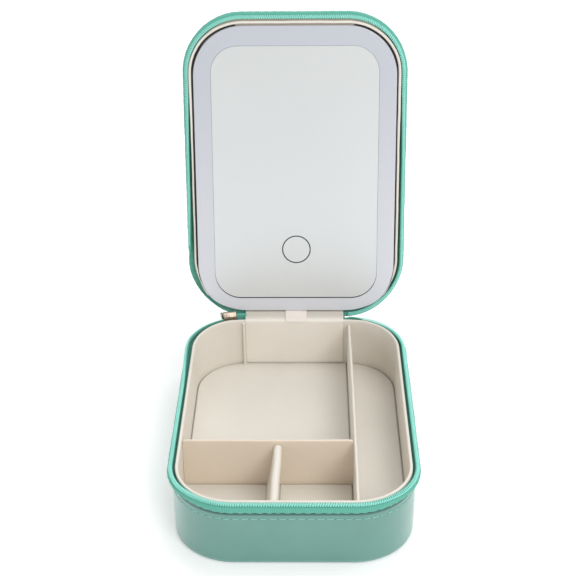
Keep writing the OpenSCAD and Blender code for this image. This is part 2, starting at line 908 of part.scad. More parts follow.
// White tray behind the diffuser, with bosses for the board, a shelf for the lamps and a port
module lamp_housing() {
    floor_d = housing_back_d - housing_wall;
    color(foam_white)
        opened()
            difference() {
                union() {
                    sheet(housing_inset, level(1, floor_d), housing_wall);
                    wall(housing_inset, housing_in, level(1, housing_d), level(1, floor_d + fuse));
                    wall(housing_in - fuse, lamp_inset + 3, level(1, housing_d + 3.4),
                         level(1, floor_d + fuse));
                    for (x = [-1, 1], y = [-1, 1])
                        translate([board_place[0] + x * board_hole_x,
                                   board_place[1] + y * board_hole_y,
                                   level(1, board_d + board_size[2] + glue_gap)])
                            cylinder(floor_d - board_d - board_size[2] - glue_gap + fuse,
                                     d = boss_d, $fn = small_fn);
                }
                translate([board_place[0] - board_size[0] / 2 - 0.5,
                           board_place[1] - board_size[1] / 2 - 0.5, level(1, housing_d)])
                    cube([board_size[0] + 1, half_d - housing_in - board_place[1]
                          + board_size[1] / 2 + 0.5, board_d + board_size[2] + glue_gap - housing_d]);
                translate([board_place[0] + socket_x - socket_size[0] / 2 - 0.3,
                           half_d - housing_in - 1, level(1, board_d - socket_size[2] - 0.3)])
                    cube([socket_size[0] + 0.6, housing_wall + 2, socket_size[2] + 0.5]);
            }
}

// Milk-white plate round and behind the mirror, with a rounded front edge
module light_diffuser() {
    r = diffuser_edge_r;
    face = level(1, panel_recess);
    color(milk_white)
        opened()
            difference() {
                translate([0, panel_y, 0]) {
                    translate([0, 0, face + r])
                        linear_extrude(diffuser_t - r)
                            rounded_plate(panel_w, panel_l, panel_r);
                    translate([0, 0, face])
                        linear_extrude(r + fuse)
                            rounded_plate(panel_w - 2 * r, panel_l - 2 * r, panel_r - r);
                    translate([0, 0, face + r / 3])
                        linear_extrude(r)
                            rounded_plate(panel_w - 0.5 * r, panel_l - 0.5 * r, panel_r - 0.25 * r);
                }
                translate([0, mirror_y, face - 1])
                    linear_extrude(mirror_t - mirror_proud + 1 + glue_gap)
                        rounded_plate(mirror_w + 0.4, mirror_l + 0.4, mirror_r + 0.2);
            }
}

// Mirror with a narrow step at its front edge and a groove for the touch ring
module mirror_glass() {
    bevel = 0.3;
    face = level(1, panel_recess - mirror_proud);
    color(mirror_grey)
        opened()
            difference() {
                translate([0, mirror_y, face]) {
                    translate([0, 0, bevel])
                        linear_extrude(mirror_t - bevel)
                            rounded_plate(mirror_w, mirror_l, mirror_r);
                    linear_extrude(bevel + fuse)
                        rounded_plate(mirror_w - 2 * bevel, mirror_l - 2 * bevel, mirror_r - bevel);
                }
                translate([touch_place[0], touch_place[1], face - 1])
                    linear_extrude(1 + 0.3)
                        ring_2d(touch_d, touch_line);
            }
}

// Flat ring of an outer diameter and a line width
module ring_2d(d, line) {
    difference() {
        circle(d = d, $fn = round_fn);
        circle(d = d - 2 * line, $fn = round_fn);
    }
}

module touch_ring() {
    color(ink_grey)
        opened()
            translate([touch_place[0], touch_place[1], level(1, panel_recess - mirror_proud)])
                linear_extrude(0.25)
                    ring_2d(touch_d - 0.04, touch_line - 0.04);
}

module touch_pad() {
    color(copper)
        opened()
            translate([touch_place[0], touch_place[1], level(1, housing_d)])
                cylinder(board_d - housing_d - 2 * glue_gap, d = touch_d * 0.7, $fn = round_fn);
}

// Ring of circuit strip on the housing's shelf, behind the lit band
module led_board_ring() {
    color(foam_white)
        opened()
            difference() {
                wall(lamp_inset - 2.4, lamp_inset + 2.4, level(1, housing_d + 2.9),
                     level(1, housing_d + 3.3));
                translate([board_place[0] - board_size[0] / 2 - 1, board_place[1] - board_size[1], 0])
                    cube([board_size[0] + 2, far, far]);
            }
}

// Lamps spaced evenly on the strip, clear of the circuit board
module led_lamps() {
    lamp_r = corner_r - lamp_inset;
    lamp_run = 2 * PI * lamp_r + 4 * corner_y + 2 * corner_x;
    color(lamp_yellow)
        opened()
            for (i = [0:lamp_count - 1])
                at_route((i + 0.5) * lamp_run / lamp_count, lamp_r)
                    translate([0, 0, level(1, housing_d + 2.3)])
                        cube([2.8, 3.5, 1], center = true);
}

module circuit_board() {
    color(board_green)
        opened()
            difference() {
                translate([board_place[0] - board_size[0] / 2, board_place[1] - board_size[1] / 2,
                           level(1, board_d)])
                    cube(board_size);
                for (x = [-1, 1], y = [-1, 1])
                    translate([board_place[0] + x * board_hole_x, board_place[1] + y * board_hole_y,
                               level(1, board_d - 1)])
                        cylinder(board_size[2] + 2, d = screw_d + 0.4, $fn = small_fn);
            }
}

module board_screws() {
    color(slider_metal)
        opened()
            for (x = [-1, 1], y = [-1, 1])
                translate([board_place[0] + x * board_hole_x, board_place[1] + y * board_hole_y, 0]) {
                    translate([0, 0, level(1, board_d - 1.1)])
                        cylinder(1, d = 3.8, $fn = small_fn);
                    translate([0, 0, level(1, board_d - 0.2)])
                        cylinder(board_size[2] + 0.2, d = screw_d, $fn = small_fn);
                }
}

// Charging socket on the board's edge, open towards the hinge
module charge_socket() {
    x = board_place[0] + socket_x;
    y = half_d - housing_inset - 0.3;
    z = level(1, board_d - glue_gap);
    r = socket_size[2] / 2;
    color(slider_metal)
        opened()
            translate([x, y, z - r])
                rotate([90, 0, 0])
                    linear_extrude(socket_size[1])
                        difference() {
                            rounded_plate(socket_size[0], socket_size[2], r - 0.01);
                            rounded_plate(socket_size[0] - 0.6, socket_size[2] - 0.6, r - 0.31);
                        }
}

// Pouch cell, rounded along its long edges
module battery_cell() {
    r = cell_size[2] / 2;
    z = level(1, housing_back_d - housing_wall - glue_gap - r);
    color(cell_silver)
        opened()
            translate([-cell_size[0] / 2, cell_y, z])
                rotate([90, 0, 90])
                    linear_extrude(cell_size[0])
                        union() {
                            square([cell_size[1] - 2 * r, cell_size[2]], center = true);
                            for (y = [-1, 1])
                                translate([y * (cell_size[1] / 2 - r), 0])
                                    circle(r, $fn = small_fn);
                        }
}

// Tab held behind the panel's lower edge and brought round it
module pull_tab() {
    edge = panel_back_inset - glue_gap;
    color(lining_cream)
        opened()
            across_back(-tab_w / 2, tab_w / 2) {
                section_box(1, edge - lining_t, edge, hinge_gap + lining_t + glue_gap, tab_d + lining_t);
                section_box(1, edge - lining_t, housing_inset - 0.2, tab_d, tab_d + lining_t);
            }
}

base_cover_wall();
base_cover_bottom();
base_side_padding();
base_wall_board();
base_floor_board();
base_floor_filler();
base_lining();
floor_pad_large();
floor_pad_long();
floor_pad_left();
floor_pad_right();
long_divider();
cross_divider();
middle_divider();
divider_rail();
lower_zip_tape();
lower_zip_teeth();
zip_chain_end();
hinge_strip_base();
hinge_leather_base();
zip_slider();
zip_pull();
lid_cover_wall();
lid_cover_top();
lid_side_padding();
lid_wall_board();
lid_top_board();
lid_top_padding();
lid_lining();
panel_spacer_frame();
upper_zip_tape();
upper_zip_teeth();
hinge_strip_lid();
hinge_leather_lid();
lamp_housing();
light_diffuser();
mirror_glass();
touch_ring();
touch_pad();
led_board_ring();
led_lamps();
circuit_board();
board_screws();
charge_socket();
battery_cell();
pull_tab();
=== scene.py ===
# %% [markdown]
# # A zipped vanity box with a lighted mirror
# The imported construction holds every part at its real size. This notebook dresses it: leather, lining,
# zip, hinge strips, dividers and the light panel are modelled here as the soft or polished things they
# are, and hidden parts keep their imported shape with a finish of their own. All sizes are millimetres,
# turned into metres when a mesh is made.

# %% Load the frame
import json
import math

import bpy
import bmesh
import numpy as np
from mathutils import Matrix, Vector, noise


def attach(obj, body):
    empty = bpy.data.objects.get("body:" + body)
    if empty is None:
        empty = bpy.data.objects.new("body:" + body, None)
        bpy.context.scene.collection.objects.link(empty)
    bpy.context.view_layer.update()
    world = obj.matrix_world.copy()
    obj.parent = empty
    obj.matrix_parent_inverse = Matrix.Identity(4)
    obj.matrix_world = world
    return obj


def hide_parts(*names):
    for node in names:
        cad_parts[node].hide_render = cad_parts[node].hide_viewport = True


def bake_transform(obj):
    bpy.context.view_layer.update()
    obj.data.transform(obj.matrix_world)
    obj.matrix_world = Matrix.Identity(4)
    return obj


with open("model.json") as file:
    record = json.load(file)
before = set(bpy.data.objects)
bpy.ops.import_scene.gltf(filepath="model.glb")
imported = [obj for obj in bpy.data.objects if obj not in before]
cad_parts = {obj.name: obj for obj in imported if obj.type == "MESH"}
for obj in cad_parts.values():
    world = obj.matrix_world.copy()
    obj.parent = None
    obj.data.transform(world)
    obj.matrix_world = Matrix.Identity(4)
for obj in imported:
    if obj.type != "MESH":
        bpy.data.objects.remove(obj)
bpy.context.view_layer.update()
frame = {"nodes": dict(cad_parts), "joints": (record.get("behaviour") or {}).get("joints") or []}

# %% [markdown]
# The case is a rounded rectangle seen from above, so every wall, rim and tape is one section carried
# round the same route. The sizes below are the construction's own, and the lid is drawn shut and then
# turned back by the hinge joint's range.

# %% Driving sizes
MM = 0.001
case_w, case_d = 160.0, 224.0
base_h, lid_h = 48.0, 27.0
corner_r = 43.0
corner_x, corner_y = case_w / 2 - corner_r, case_d / 2 - corner_r
half_d = case_d / 2
rim_drop = 0.8
joints = {joint["name"]: joint for joint in frame["joints"]}
open_angle = math.radians(joints["lid_hinge"]["range_deg"][1])
print("lid opens", round(math.degrees(open_angle), 1), "degrees")

# %% [markdown]
# The camera stands where the photographer stood: about 0.7 m in front of the case and half a metre up,
# with a long lens. The rotation is a yaw about the vertical, then the pitch, then a small roll.

# %% Camera
camera_place = Vector((9.503, -717.967, 541.977)) * MM
camera_pitch, camera_yaw, camera_roll = math.radians(29.544), math.radians(1.057), math.radians(-0.595)
focal_px, frame_px = 1284.93, 576
camera_data = bpy.data.cameras.new("camera")
camera_data.sensor_width = 36
camera_data.lens = focal_px / frame_px * camera_data.sensor_width
camera = bpy.data.objects.new("camera", camera_data)
camera.matrix_world = (Matrix.Translation(camera_place)
                       @ Matrix.Rotation(camera_yaw, 4, "Z")
                       @ Matrix.Rotation(math.pi / 2 - camera_pitch, 4, "X")
                       @ Matrix.Rotation(camera_roll, 4, "Z"))
bpy.context.scene.collection.objects.link(camera)
bpy.context.scene.camera = camera
print("lens", round(camera_data.lens, 2))

# %% [markdown]
# A few small helpers write shader nodes. `put` adds a node and fills its inputs, where a value may also
# be another node's output, and `group` opens a new group with named number sockets. Groups hold the
# effects that several finishes share, and the Principled shader always stays in the material itself.

# %% Shader helpers
def put(tree, kind, settings=None, **inputs):
    """Adds a node, sets its properties and fills its inputs, by name or as i0, i1 and so on."""
    made = tree.nodes.new(kind)
    for key, value in (settings or {}).items():
        setattr(made, key, value)
    for key, value in inputs.items():
        name = key.replace("_", " ")
        socket = made.inputs[int(name[1:])] if name[0] == "i" and name[1:].isdigit() else made.inputs[name]
        if isinstance(value, bpy.types.NodeSocket):
            tree.links.new(value, socket)
        else:
            socket.default_value = value
    return made


def group(name, ins, outs):
    """A new shader group, its inputs with their default values, and its input and output nodes."""
    tree = bpy.data.node_groups.new(name, "ShaderNodeTree")
    kind = "NodeSocketFloat"
    for label, value in ins.items():
        tree.interface.new_socket(name=label, in_out="INPUT", socket_type=kind).default_value = value
    for label in outs:
        tree.interface.new_socket(name=label, in_out="OUTPUT", socket_type=kind)
    return tree, tree.nodes.new("NodeGroupInput").outputs, tree.nodes.new("NodeGroupOutput").inputs


# %% [markdown]
# Most effects need only sums, ranges, a place on the piece and soft noise. Noise follows the object's own
# metres, so that one finish has one scale on every piece, large or small.

# %% Small shader nodes
def math_node(tree, operation, a, b=0.0, clamp=False):
    return put(tree, "ShaderNodeMath", {"operation": operation, "use_clamp": clamp}, i0=a, i1=b).outputs[0]


def remap(tree, value, low, high, at_low=0.0, at_high=1.0, smooth=False):
    """Maps a range to another, straight or with soft ends."""
    settings = {"interpolation_type": "SMOOTHSTEP"} if smooth else None
    return put(tree, "ShaderNodeMapRange", settings, i0=value, i1=low, i2=high, i3=at_low, i4=at_high).outputs[0]


def place_on(tree, source="Object"):
    return put(tree, "ShaderNodeTexCoord").outputs[source]


def cloud(tree, scale, detail, **more):
    """Soft noise of an even scale over the piece."""
    return put(tree, "ShaderNodeTexNoise", Vector=place_on(tree), Scale=scale, Detail=detail, **more).outputs[0]


# %% [markdown]
# Grain is what makes a flat sheet read as leather. Real grain is a net of fine valleys round pebbles of
# uneven size, so the group warps a Voronoi net with noise and returns its height. A second output gives
# slow patches, because coated leather never reflects quite evenly.

# %% Shared effect: grain
def make_grain():
    tree, ins, outs = group("grain", {"Pebble": 1.0, "Softness": 0.3}, ["Height", "Patches"])
    place = place_on(tree)
    per_mm = math_node(tree, "DIVIDE", 1 / MM, ins["Pebble"])
    warp = put(tree, "ShaderNodeTexNoise", Vector=place, Scale=math_node(tree, "MULTIPLY", per_mm, 0.6), Detail=2.0)
    shift = put(tree, "ShaderNodeVectorMath", {"operation": "SCALE"}, i0=warp.outputs["Color"])
    tree.links.new(math_node(tree, "DIVIDE", 0.7, per_mm), shift.inputs["Scale"])
    moved = put(tree, "ShaderNodeVectorMath", {"operation": "ADD"}, i0=place, i1=shift.outputs[0]).outputs[0]
    net = put(tree, "ShaderNodeTexVoronoi", {"feature": "DISTANCE_TO_EDGE"}, Vector=moved, Scale=per_mm)
    pebble = remap(tree, net.outputs["Distance"], 0.0, ins["Softness"], smooth=True)
    fine = cloud(tree, math_node(tree, "MULTIPLY", per_mm, 3.0), 3.0)
    height = math_node(tree, "ADD", pebble, math_node(tree, "MULTIPLY", fine, 0.35))
    tree.links.new(height, outs["Height"])
    tree.links.new(cloud(tree, 28.0, 3.0, Roughness=0.6), outs["Patches"])
    return tree


grain = make_grain()

# %% [markdown]
# Edges that are rubbed or stretched over a board are a little paler, and the same pale tone is a painted
# highlight for the light they catch. Pointiness finds convex edges on a dense mesh, and the group turns it
# into a mask that each finish uses its own way.

# %% Shared effect: worn edges and painted edge highlight
def make_worn_and_lit_edges():
    tree, ins, outs = group("worn_and_lit_edges", {"Strength": 0.5}, ["Mask"])
    point = put(tree, "ShaderNodeNewGeometry").outputs["Pointiness"]
    edge = remap(tree, point, 0.52, 0.62, smooth=True)
    broken = math_node(tree, "MULTIPLY", edge, cloud(tree, 240.0, 4.0))
    tree.links.new(math_node(tree, "MULTIPLY", broken, ins["Strength"], True), outs["Mask"])
    return tree


worn_and_lit_edges = make_worn_and_lit_edges()

# %% [markdown]
# Tape is woven in narrow ribs that run across it. Its mesh carries a UV map in millimetres, with U along
# the zip and V across the tape, so two waves give the ribs and the threads that bind them.

# %% Shared effect: weave
def make_weave():
    tree, ins, outs = group("weave", {"Rib": 1.1, "Thread": 0.45}, ["Height", "Shade"])
    uv = put(tree, "ShaderNodeSeparateXYZ", Vector=place_on(tree, "UV")).outputs

    def wave(axis, width, share):
        turns = math_node(tree, "DIVIDE", math.tau / MM, ins[width])
        sine = math_node(tree, "SINE", math_node(tree, "MULTIPLY", uv[axis], turns))
        return math_node(tree, "MULTIPLY", sine, share)
    height = math_node(tree, "ADD", wave("X", "Rib", 0.35), wave("Y", "Thread", 0.15))
    tree.links.new(math_node(tree, "ADD", height, 0.5), outs["Height"])
    tree.links.new(remap(tree, height, -0.5, 0.5), outs["Shade"])
    return tree


weave = make_weave()

# %% [markdown]
# The glass and the opal plate lean back, so each reflects a different part of the room from top to bottom.
# This group measures the height in the lid, and each finish uses it for its own soft change, a painted shade
# and reflection from the hinge to the top.

# %% Shared effect: height in the lid
def make_upward():
    tree, ins, outs = group("upward", {"Low": 0.05, "High": 0.26}, ["Share"])
    height = put(tree, "ShaderNodeSeparateXYZ", Vector=place_on(tree)).outputs["Z"]
    tree.links.new(remap(tree, height, ins["Low"], ins["High"], smooth=True), outs["Share"])
    return tree


upward = make_upward()
print("shared effects", [tree.name for tree in (grain, worn_and_lit_edges, weave, upward)])

# %% [markdown]
# Now the finishes. Each function makes one material: colour and bump come from the groups, and numbers
# that are even all over the surface are set on the shader's own sockets.

# %% Finish helpers
def new_material(name):
    material = bpy.data.materials.new(name)
    material.use_nodes = True
    tree = material.node_tree
    return material, tree, tree.nodes["Principled BSDF"]


def use_group(tree, made, **inputs):
    """Puts a shared effect into a material and returns its outputs."""
    node = put(tree, "ShaderNodeGroup", {"node_tree": made})
    for key, value in inputs.items():
        node.inputs[key].default_value = value
    return node.outputs


def blend_colours(tree, share, a, b):
    """A mix of two colours, each given as red, green and blue or as another node's output."""
    made = put(tree, "ShaderNodeMix", {"data_type": "RGBA"}, i0=share)
    for socket, value in ((made.inputs[6], a), (made.inputs[7], b)):
        if isinstance(value, bpy.types.NodeSocket):
            tree.links.new(value, socket)
        else:
            socket.default_value = (*value, 1)
    return made.outputs[2]


def set_colour(tree, shader, tone):
    tree.links.new(tone, shader.inputs["Base Color"])


def set_gloss(tree, shader, value, rough, spread, low=0.3, high=0.7):
    """Roughness that varies about a middle value, driven by an output that runs from low to high."""
    tree.links.new(remap(tree, value, low, high, rough - spread, rough + spread), shader.inputs["Roughness"])


def set_bump(tree, shader, height, distance):
    """Fine relief. The distance is in millimetres."""
    bump = put(tree, "ShaderNodeBump", Height=height, Distance=distance * MM, Strength=1.0)
    tree.links.new(bump.outputs["Normal"], shader.inputs["Normal"])


# %% [markdown]
# Coated leather is one recipe with many dyes. The deep tone lies in the valleys and in slow patches, and a
# pale one on rubbed edges, which is also a painted highlight. Two of the leathers get a painted shadow: the
# walls under the zip tape's overhang and the hinge strip under the panel's edge, where the Y of their UV or
# Object place lies between two sizes.

# %% Finishes: leather
def leather(name, colour, deep, pale, pebble, relief, rough, rubbing_and_highlight=0.5, coat=0.0, painted_shade=None):
    """Coated leather. Pebble and relief are millimetres. A painted shade has its source, its range, the share at
    both ends and its colour."""
    material, tree, shader = new_material(name)
    skin = use_group(tree, grain, Pebble=pebble)
    tone = blend_colours(tree, remap(tree, skin["Patches"], 0.15, 0.85, smooth=True), deep, colour)
    tone = blend_colours(tree, remap(tree, skin["Height"], 0.0, 0.6, 0.75, 0.0), tone, deep)
    tone = blend_colours(tree, use_group(tree, worn_and_lit_edges, Strength=rubbing_and_highlight)["Mask"], tone, pale)
    if painted_shade:
        source, low, high, at_low, at_high, dark = painted_shade
        y = put(tree, "ShaderNodeSeparateXYZ", Vector=place_on(tree, source)).outputs["Y"]
        tone = blend_colours(tree, remap(tree, y, low * MM, high * MM, at_low, at_high, smooth=True), tone, dark)
    set_colour(tree, shader, tone)
    set_gloss(tree, shader, skin["Patches"], rough, 0.06, 0.2, 0.8)
    shader.inputs["Specular IOR Level"].default_value = 0.5
    shader.inputs["Coat Weight"].default_value = coat
    shader.inputs["Coat Roughness"].default_value = 0.22
    set_bump(tree, shader, skin["Height"], relief)
    return material


# The rubbed green is the pale tone of rubbed edges and also their painted highlight.
green, deep_green, rubbed_and_lit_green = (0.119, 0.3, 0.255), (0.101, 0.263, 0.22), (0.24, 0.45, 0.39)
# Painted shadow: the wall leather darkens under the zip tape's overhang, along its folded top edge.
painted_tape_shadow = ("UV", 2.2, 3.9, 0.95, 0.0, (0.02, 0.13, 0.1))
# Painted shadow: the hinge strip darkens where it passes under the panel's lower edge.
painted_panel_shadow = ("Object", 104.2, 110.0, 0.0, 0.75, (0.5, 0.46, 0.39))
outer_leather = leather("outer_leather", green, deep_green, rubbed_and_lit_green, 0.9, 0.018, 0.32, 0.5, 0.8)
walls_with_tape_shadow = leather("walls_with_tape_shadow", green, deep_green, rubbed_and_lit_green, 0.9, 0.018, 0.32, 0.5, 0.8, painted_tape_shadow)
lining_leather = leather("lining_leather", (0.79, 0.745, 0.675), (0.74, 0.69, 0.615), (0.88, 0.85, 0.8),
                         0.7, 0.025, 0.48, 0.7)
strip_with_panel_shadow = leather("strip_with_panel_shadow", (0.86, 0.815, 0.745), (0.81, 0.76, 0.685), (0.92, 0.89, 0.84),
                        0.7, 0.025, 0.48, 0.7, 0.0, painted_panel_shadow)
divider_leather = leather("divider_leather", (0.81, 0.71, 0.59), (0.76, 0.655, 0.53), (0.88, 0.83, 0.76),
                          0.7, 0.025, 0.46, 0.7)
tab_leather = leather("tab_leather", (0.82, 0.75, 0.69), (0.78, 0.71, 0.645), (0.88, 0.84, 0.8),
                      0.6, 0.015, 0.42)
pad_leather = leather("pad_leather", (0.77, 0.73, 0.665), (0.72, 0.68, 0.61), (0.84, 0.8, 0.74),
                      0.8, 0.03, 0.5)

# %% [markdown]
# The tape is dyed polyester: matt, with the short bright fuzz that cloth shows at grazing light, so it gets
# sheen. The coil is nylon wire of the same dye and the seams are glossy thread. Both are smooth plastics.

# %% Finishes: zip
def woven_tape():
    material, tree, shader = new_material("zip_tape")
    cloth = use_group(tree, weave, Rib=1.15, Thread=0.6)
    set_colour(tree, shader, blend_colours(tree, cloth["Shade"], (0.074, 0.33, 0.25), (0.145, 0.485, 0.385)))
    shader.inputs["Roughness"].default_value = 0.75
    shader.inputs["Sheen Weight"].default_value = 0.2
    shader.inputs["Sheen Roughness"].default_value = 0.3
    set_bump(tree, shader, cloth["Height"], 0.12)
    return material


def moulded(name, colour, shade, rough, coat=0.0):
    """Plain moulded plastic or thread: a slow shift of tone and a fine bloom in the gloss."""
    material, tree, shader = new_material(name)
    set_colour(tree, shader, blend_colours(tree, cloud(tree, 60.0, 3.0), shade, colour))
    fine = cloud(tree, 1800.0, 2.0)
    set_gloss(tree, shader, fine, rough, 0.05)
    shader.inputs["Coat Weight"].default_value = coat
    set_bump(tree, shader, fine, 0.01)
    return material


zip_tape = woven_tape()
zip_coil = moulded("zip_coil", (0.4, 0.88, 0.78), (0.32, 0.8, 0.7), 0.34)
thread = moulded("thread", (0.27, 0.62, 0.53), (0.2, 0.5, 0.42), 0.5)
# Needle holes: a dark colour painted as the shade inside each hole.
hole_shade_speck = moulded("hole_shade_speck", (0.05, 0.16, 0.13), (0.03, 0.11, 0.09), 0.8)

# %% [markdown]
# The panel is an opal acrylic plate with silvered glass set in it. A white room seen in a mirror is an
# even pale grey, so the glass is a soft metallic reflector rather than a perfect one. The plate has a painted
# shade that darkens it towards the top, and the glass a faint painted change of reflection.

# %% Finishes: panel and mirror
def painted_height_shade(name, scale, drift, at_hinge, at_top, rough, spread):
    """Painted shade and reflection that change slowly with the height in the lid, with a faint cloud in it."""
    material, tree, shader = new_material(name)
    haze = cloud(tree, scale, 2.0)
    share = math_node(tree, "ADD", use_group(tree, upward)["Share"], math_node(tree, "MULTIPLY", haze, drift), True)
    set_colour(tree, shader, blend_colours(tree, share, at_hinge, at_top))
    set_gloss(tree, shader, haze, rough, spread)
    return material, shader


# The opal plate: painted shade, lighter at the hinge and darker at the top.
diffuser_milk, milk_shader = painted_height_shade("diffuser_milk", 14.0, 0.1, (0.66, 0.67, 0.715), (0.51, 0.53, 0.58),
                                     0.33, 0.03)
milk_shader.inputs["Coat Weight"].default_value = 0.15
# The glass: a faint painted change of reflection from the hinge to the top.
mirror_silver, mirror_shader = painted_height_shade("mirror", 9.0, 0.15, (0.755, 0.785, 0.8), (0.765, 0.785, 0.785), 0.32, 0.02)
mirror_shader.inputs["Metallic"].default_value = 0.6
mark_ink = moulded("mark_ink", (0.025, 0.025, 0.03), (0.015, 0.015, 0.02), 0.5)

# %% [markdown]
# The slider is cast metal, worn dull by fingers. Parts that stay hidden in the walls and the panel get
# honest finishes too: board, foam, foil and lacquer.

# %% Finishes: metal and hidden parts
def metal(name, colour, rough, bare=1.0):
    """Metal or foil whose gloss is broken by fine rubbing. Below 1 it is partly lacquered."""
    material, tree, shader = new_material(name)
    shader.inputs["Base Color"].default_value = (*colour, 1)
    rub = cloud(tree, 900.0, 4.0)
    set_gloss(tree, shader, rub, rough, 0.08)
    shader.inputs["Metallic"].default_value = bare
    set_bump(tree, shader, rub, 0.01)
    return material


slider_metal = metal("slider_metal", (0.52, 0.43, 0.345), 0.3, 0.9)
copper_foil = metal("copper_foil", (0.75, 0.42, 0.25), 0.35)
cell_foil = metal("cell_foil", (0.62, 0.64, 0.66), 0.4)
white_plastic = moulded("white_plastic", (0.84, 0.84, 0.82), (0.78, 0.78, 0.76), 0.45)
grey_board = moulded("grey_board", (0.36, 0.31, 0.25), (0.28, 0.24, 0.19), 0.85)
white_foam = moulded("white_foam", (0.86, 0.86, 0.83), (0.78, 0.78, 0.75), 0.9)
# Brown painted shade, for the lining in shadow along the panel's front.
gap_shade_brown = moulded("gap_shade_brown", (0.36, 0.31, 0.26), (0.28, 0.24, 0.2), 0.9)
# Black painted shade, for deep gaps round the panel and the mirror.
gap_shade_black = moulded("gap_shade_black", (0.02, 0.017, 0.015), (0.012, 0.01, 0.009), 0.9)
green_lacquer = moulded("green_lacquer", (0.03, 0.2, 0.1), (0.02, 0.15, 0.07), 0.3, 0.4)
lamp_lens = moulded("lamp_lens", (0.9, 0.85, 0.5), (0.85, 0.78, 0.4), 0.25)
print("finishes", len(bpy.data.materials))

# %% [markdown]
# The route: stations on the inner rectangle of corner centres, each with an outward direction. A point of
# a section at distance x outside the tape line then lies at centre + (corner radius + x) * outward. The
# route starts at the left end of the hinge and goes anticlockwise to its right end.

# %% Route round the case
QUARTER = corner_r * math.pi / 2
CORNERS = ((-1, 1), (-1, -1), (1, -1), (1, 1))
SIDES = (2 * corner_y, 2 * corner_x, 2 * corner_y, 2 * corner_x)
LEGS = [length for side in SIDES for length in (QUARTER, side)]
STARTS = np.concatenate([[0.0], np.cumsum(LEGS)])
open_length, full_length = STARTS[7], STARTS[8]


def at_route(s):
    """Centres and outward angles at lengths s along the tape line, as arrays."""
    s = np.asarray(s, float)
    leg = np.clip(np.searchsorted(STARTS, s, side="right") - 1, 0, 7)
    share = (s - STARTS[leg]) / np.array(LEGS)[leg]
    here = np.array(CORNERS, float)[leg // 2]
    after = np.array(CORNERS, float)[(leg // 2 + 1) % 4]
    slide = np.where(leg % 2 == 1, share, 0.0)[:, None]
    centre = (here + (after - here) * slide) * (corner_x, corner_y)
    angle = math.pi / 2 * (1 + leg // 2 + np.where(leg % 2 == 0, share, 1.0))
    return centre, angle


def stations(start=0.0, end=None, step=3.2):
    """Lengths along the route from start to end, denser round the corners."""
    end = open_length if end is None else end
    lengths = {start, end}
    for leg, (low, span) in enumerate(zip(STARTS, LEGS)):
        count = 30 if leg % 2 == 0 else max(2, round(span / step))
        lengths |= {low + span * i / count for i in range(count + 1)}
    keep = sorted(x for x in lengths if start <= x <= end)
    return np.array([x for i, x in enumerate(keep) if i == 0 or x - keep[i - 1] > 1e-6])


print("zip route", round(open_length, 1), "mm")

# %% [markdown]
# Sections are drawn as corner points with a rounding for each. `rounded` turns them into a smooth outline
# and splits long stretches, so that a section can swell and ripple like a soft thing later.

# %% Rounded sections
def rounded(points, steps=5, longest=4.0):
    """Closed outline from (x, z, rounding) corners."""
    outline, count = [], len(points)
    for i, (x, z, r) in enumerate(points):
        here = np.array((x, z), float)
        before = np.array(points[i - 1][:2], float) - here
        after = np.array(points[(i + 1) % count][:2], float) - here
        if r <= 0:
            outline.append(here)
            continue
        a = here + before / np.linalg.norm(before) * min(r, np.linalg.norm(before) / 2)
        b = here + after / np.linalg.norm(after) * min(r, np.linalg.norm(after) / 2)
        for k in range(steps + 1):
            f = k / steps
            outline.append((1 - f) ** 2 * a + 2 * f * (1 - f) * here + f * f * b)
    dense = []
    for a, b in zip(outline, outline[1:] + outline[:1]):
        parts = max(1, math.ceil(np.linalg.norm(b - a) / longest))
        dense += [a + (b - a) * k / parts for k in range(parts)]
    return np.array(dense)


# %% [markdown]
# Sheets such as tape and strips are drawn as one line through a few points. The line is made smooth, as a
# bent sheet is, and then gets its thickness to both sides.

# %% Lines with a thickness
def smooth_path(points, parts=6):
    """Catmull-Rom curve through a few points."""
    p = [np.array(q, float) for q in points]
    p = [2 * p[0] - p[1]] + p + [2 * p[-1] - p[-2]]
    curve = []
    for i in range(1, len(p) - 2):
        for k in range(parts):
            f = k / parts
            curve.append(0.5 * (2 * p[i] + (p[i + 1] - p[i - 1]) * f
                                + (2 * p[i - 1] - 5 * p[i] + 4 * p[i + 1] - p[i + 2]) * f ** 2
                                + (3 * p[i] - p[i - 1] - 3 * p[i + 1] + p[i + 2]) * f ** 3))
    return np.array(curve + [p[-2]])


def ribbon(path, thick):
    """Closed outline of even thickness about an open curve."""
    path = np.asarray(path, float)
    run = np.gradient(path, axis=0)
    side = np.stack([-run[:, 1], run[:, 0]], 1) / np.linalg.norm(run, axis=1)[:, None] * thick / 2
    return np.concatenate([path + side, (path - side)[::-1]])


# %% [markdown]
# `make_piece` is the one place where meshes become objects. It turns millimetres into metres, points the
# normals outward, keeps real edges sharp, ties the piece to its body and hides the imported nodes that it
# stands for.

# %% From points to a piece
def turn_open(points):
    """Turns points of the shut lid back about the hinge line."""
    points = np.asarray(points, float)
    c, s = math.cos(-open_angle), math.sin(-open_angle)
    y, z = points[:, 1] - half_d, points[:, 2] - base_h
    return np.stack([points[:, 0], half_d + y * c - z * s, base_h + y * s + z * c], 1)


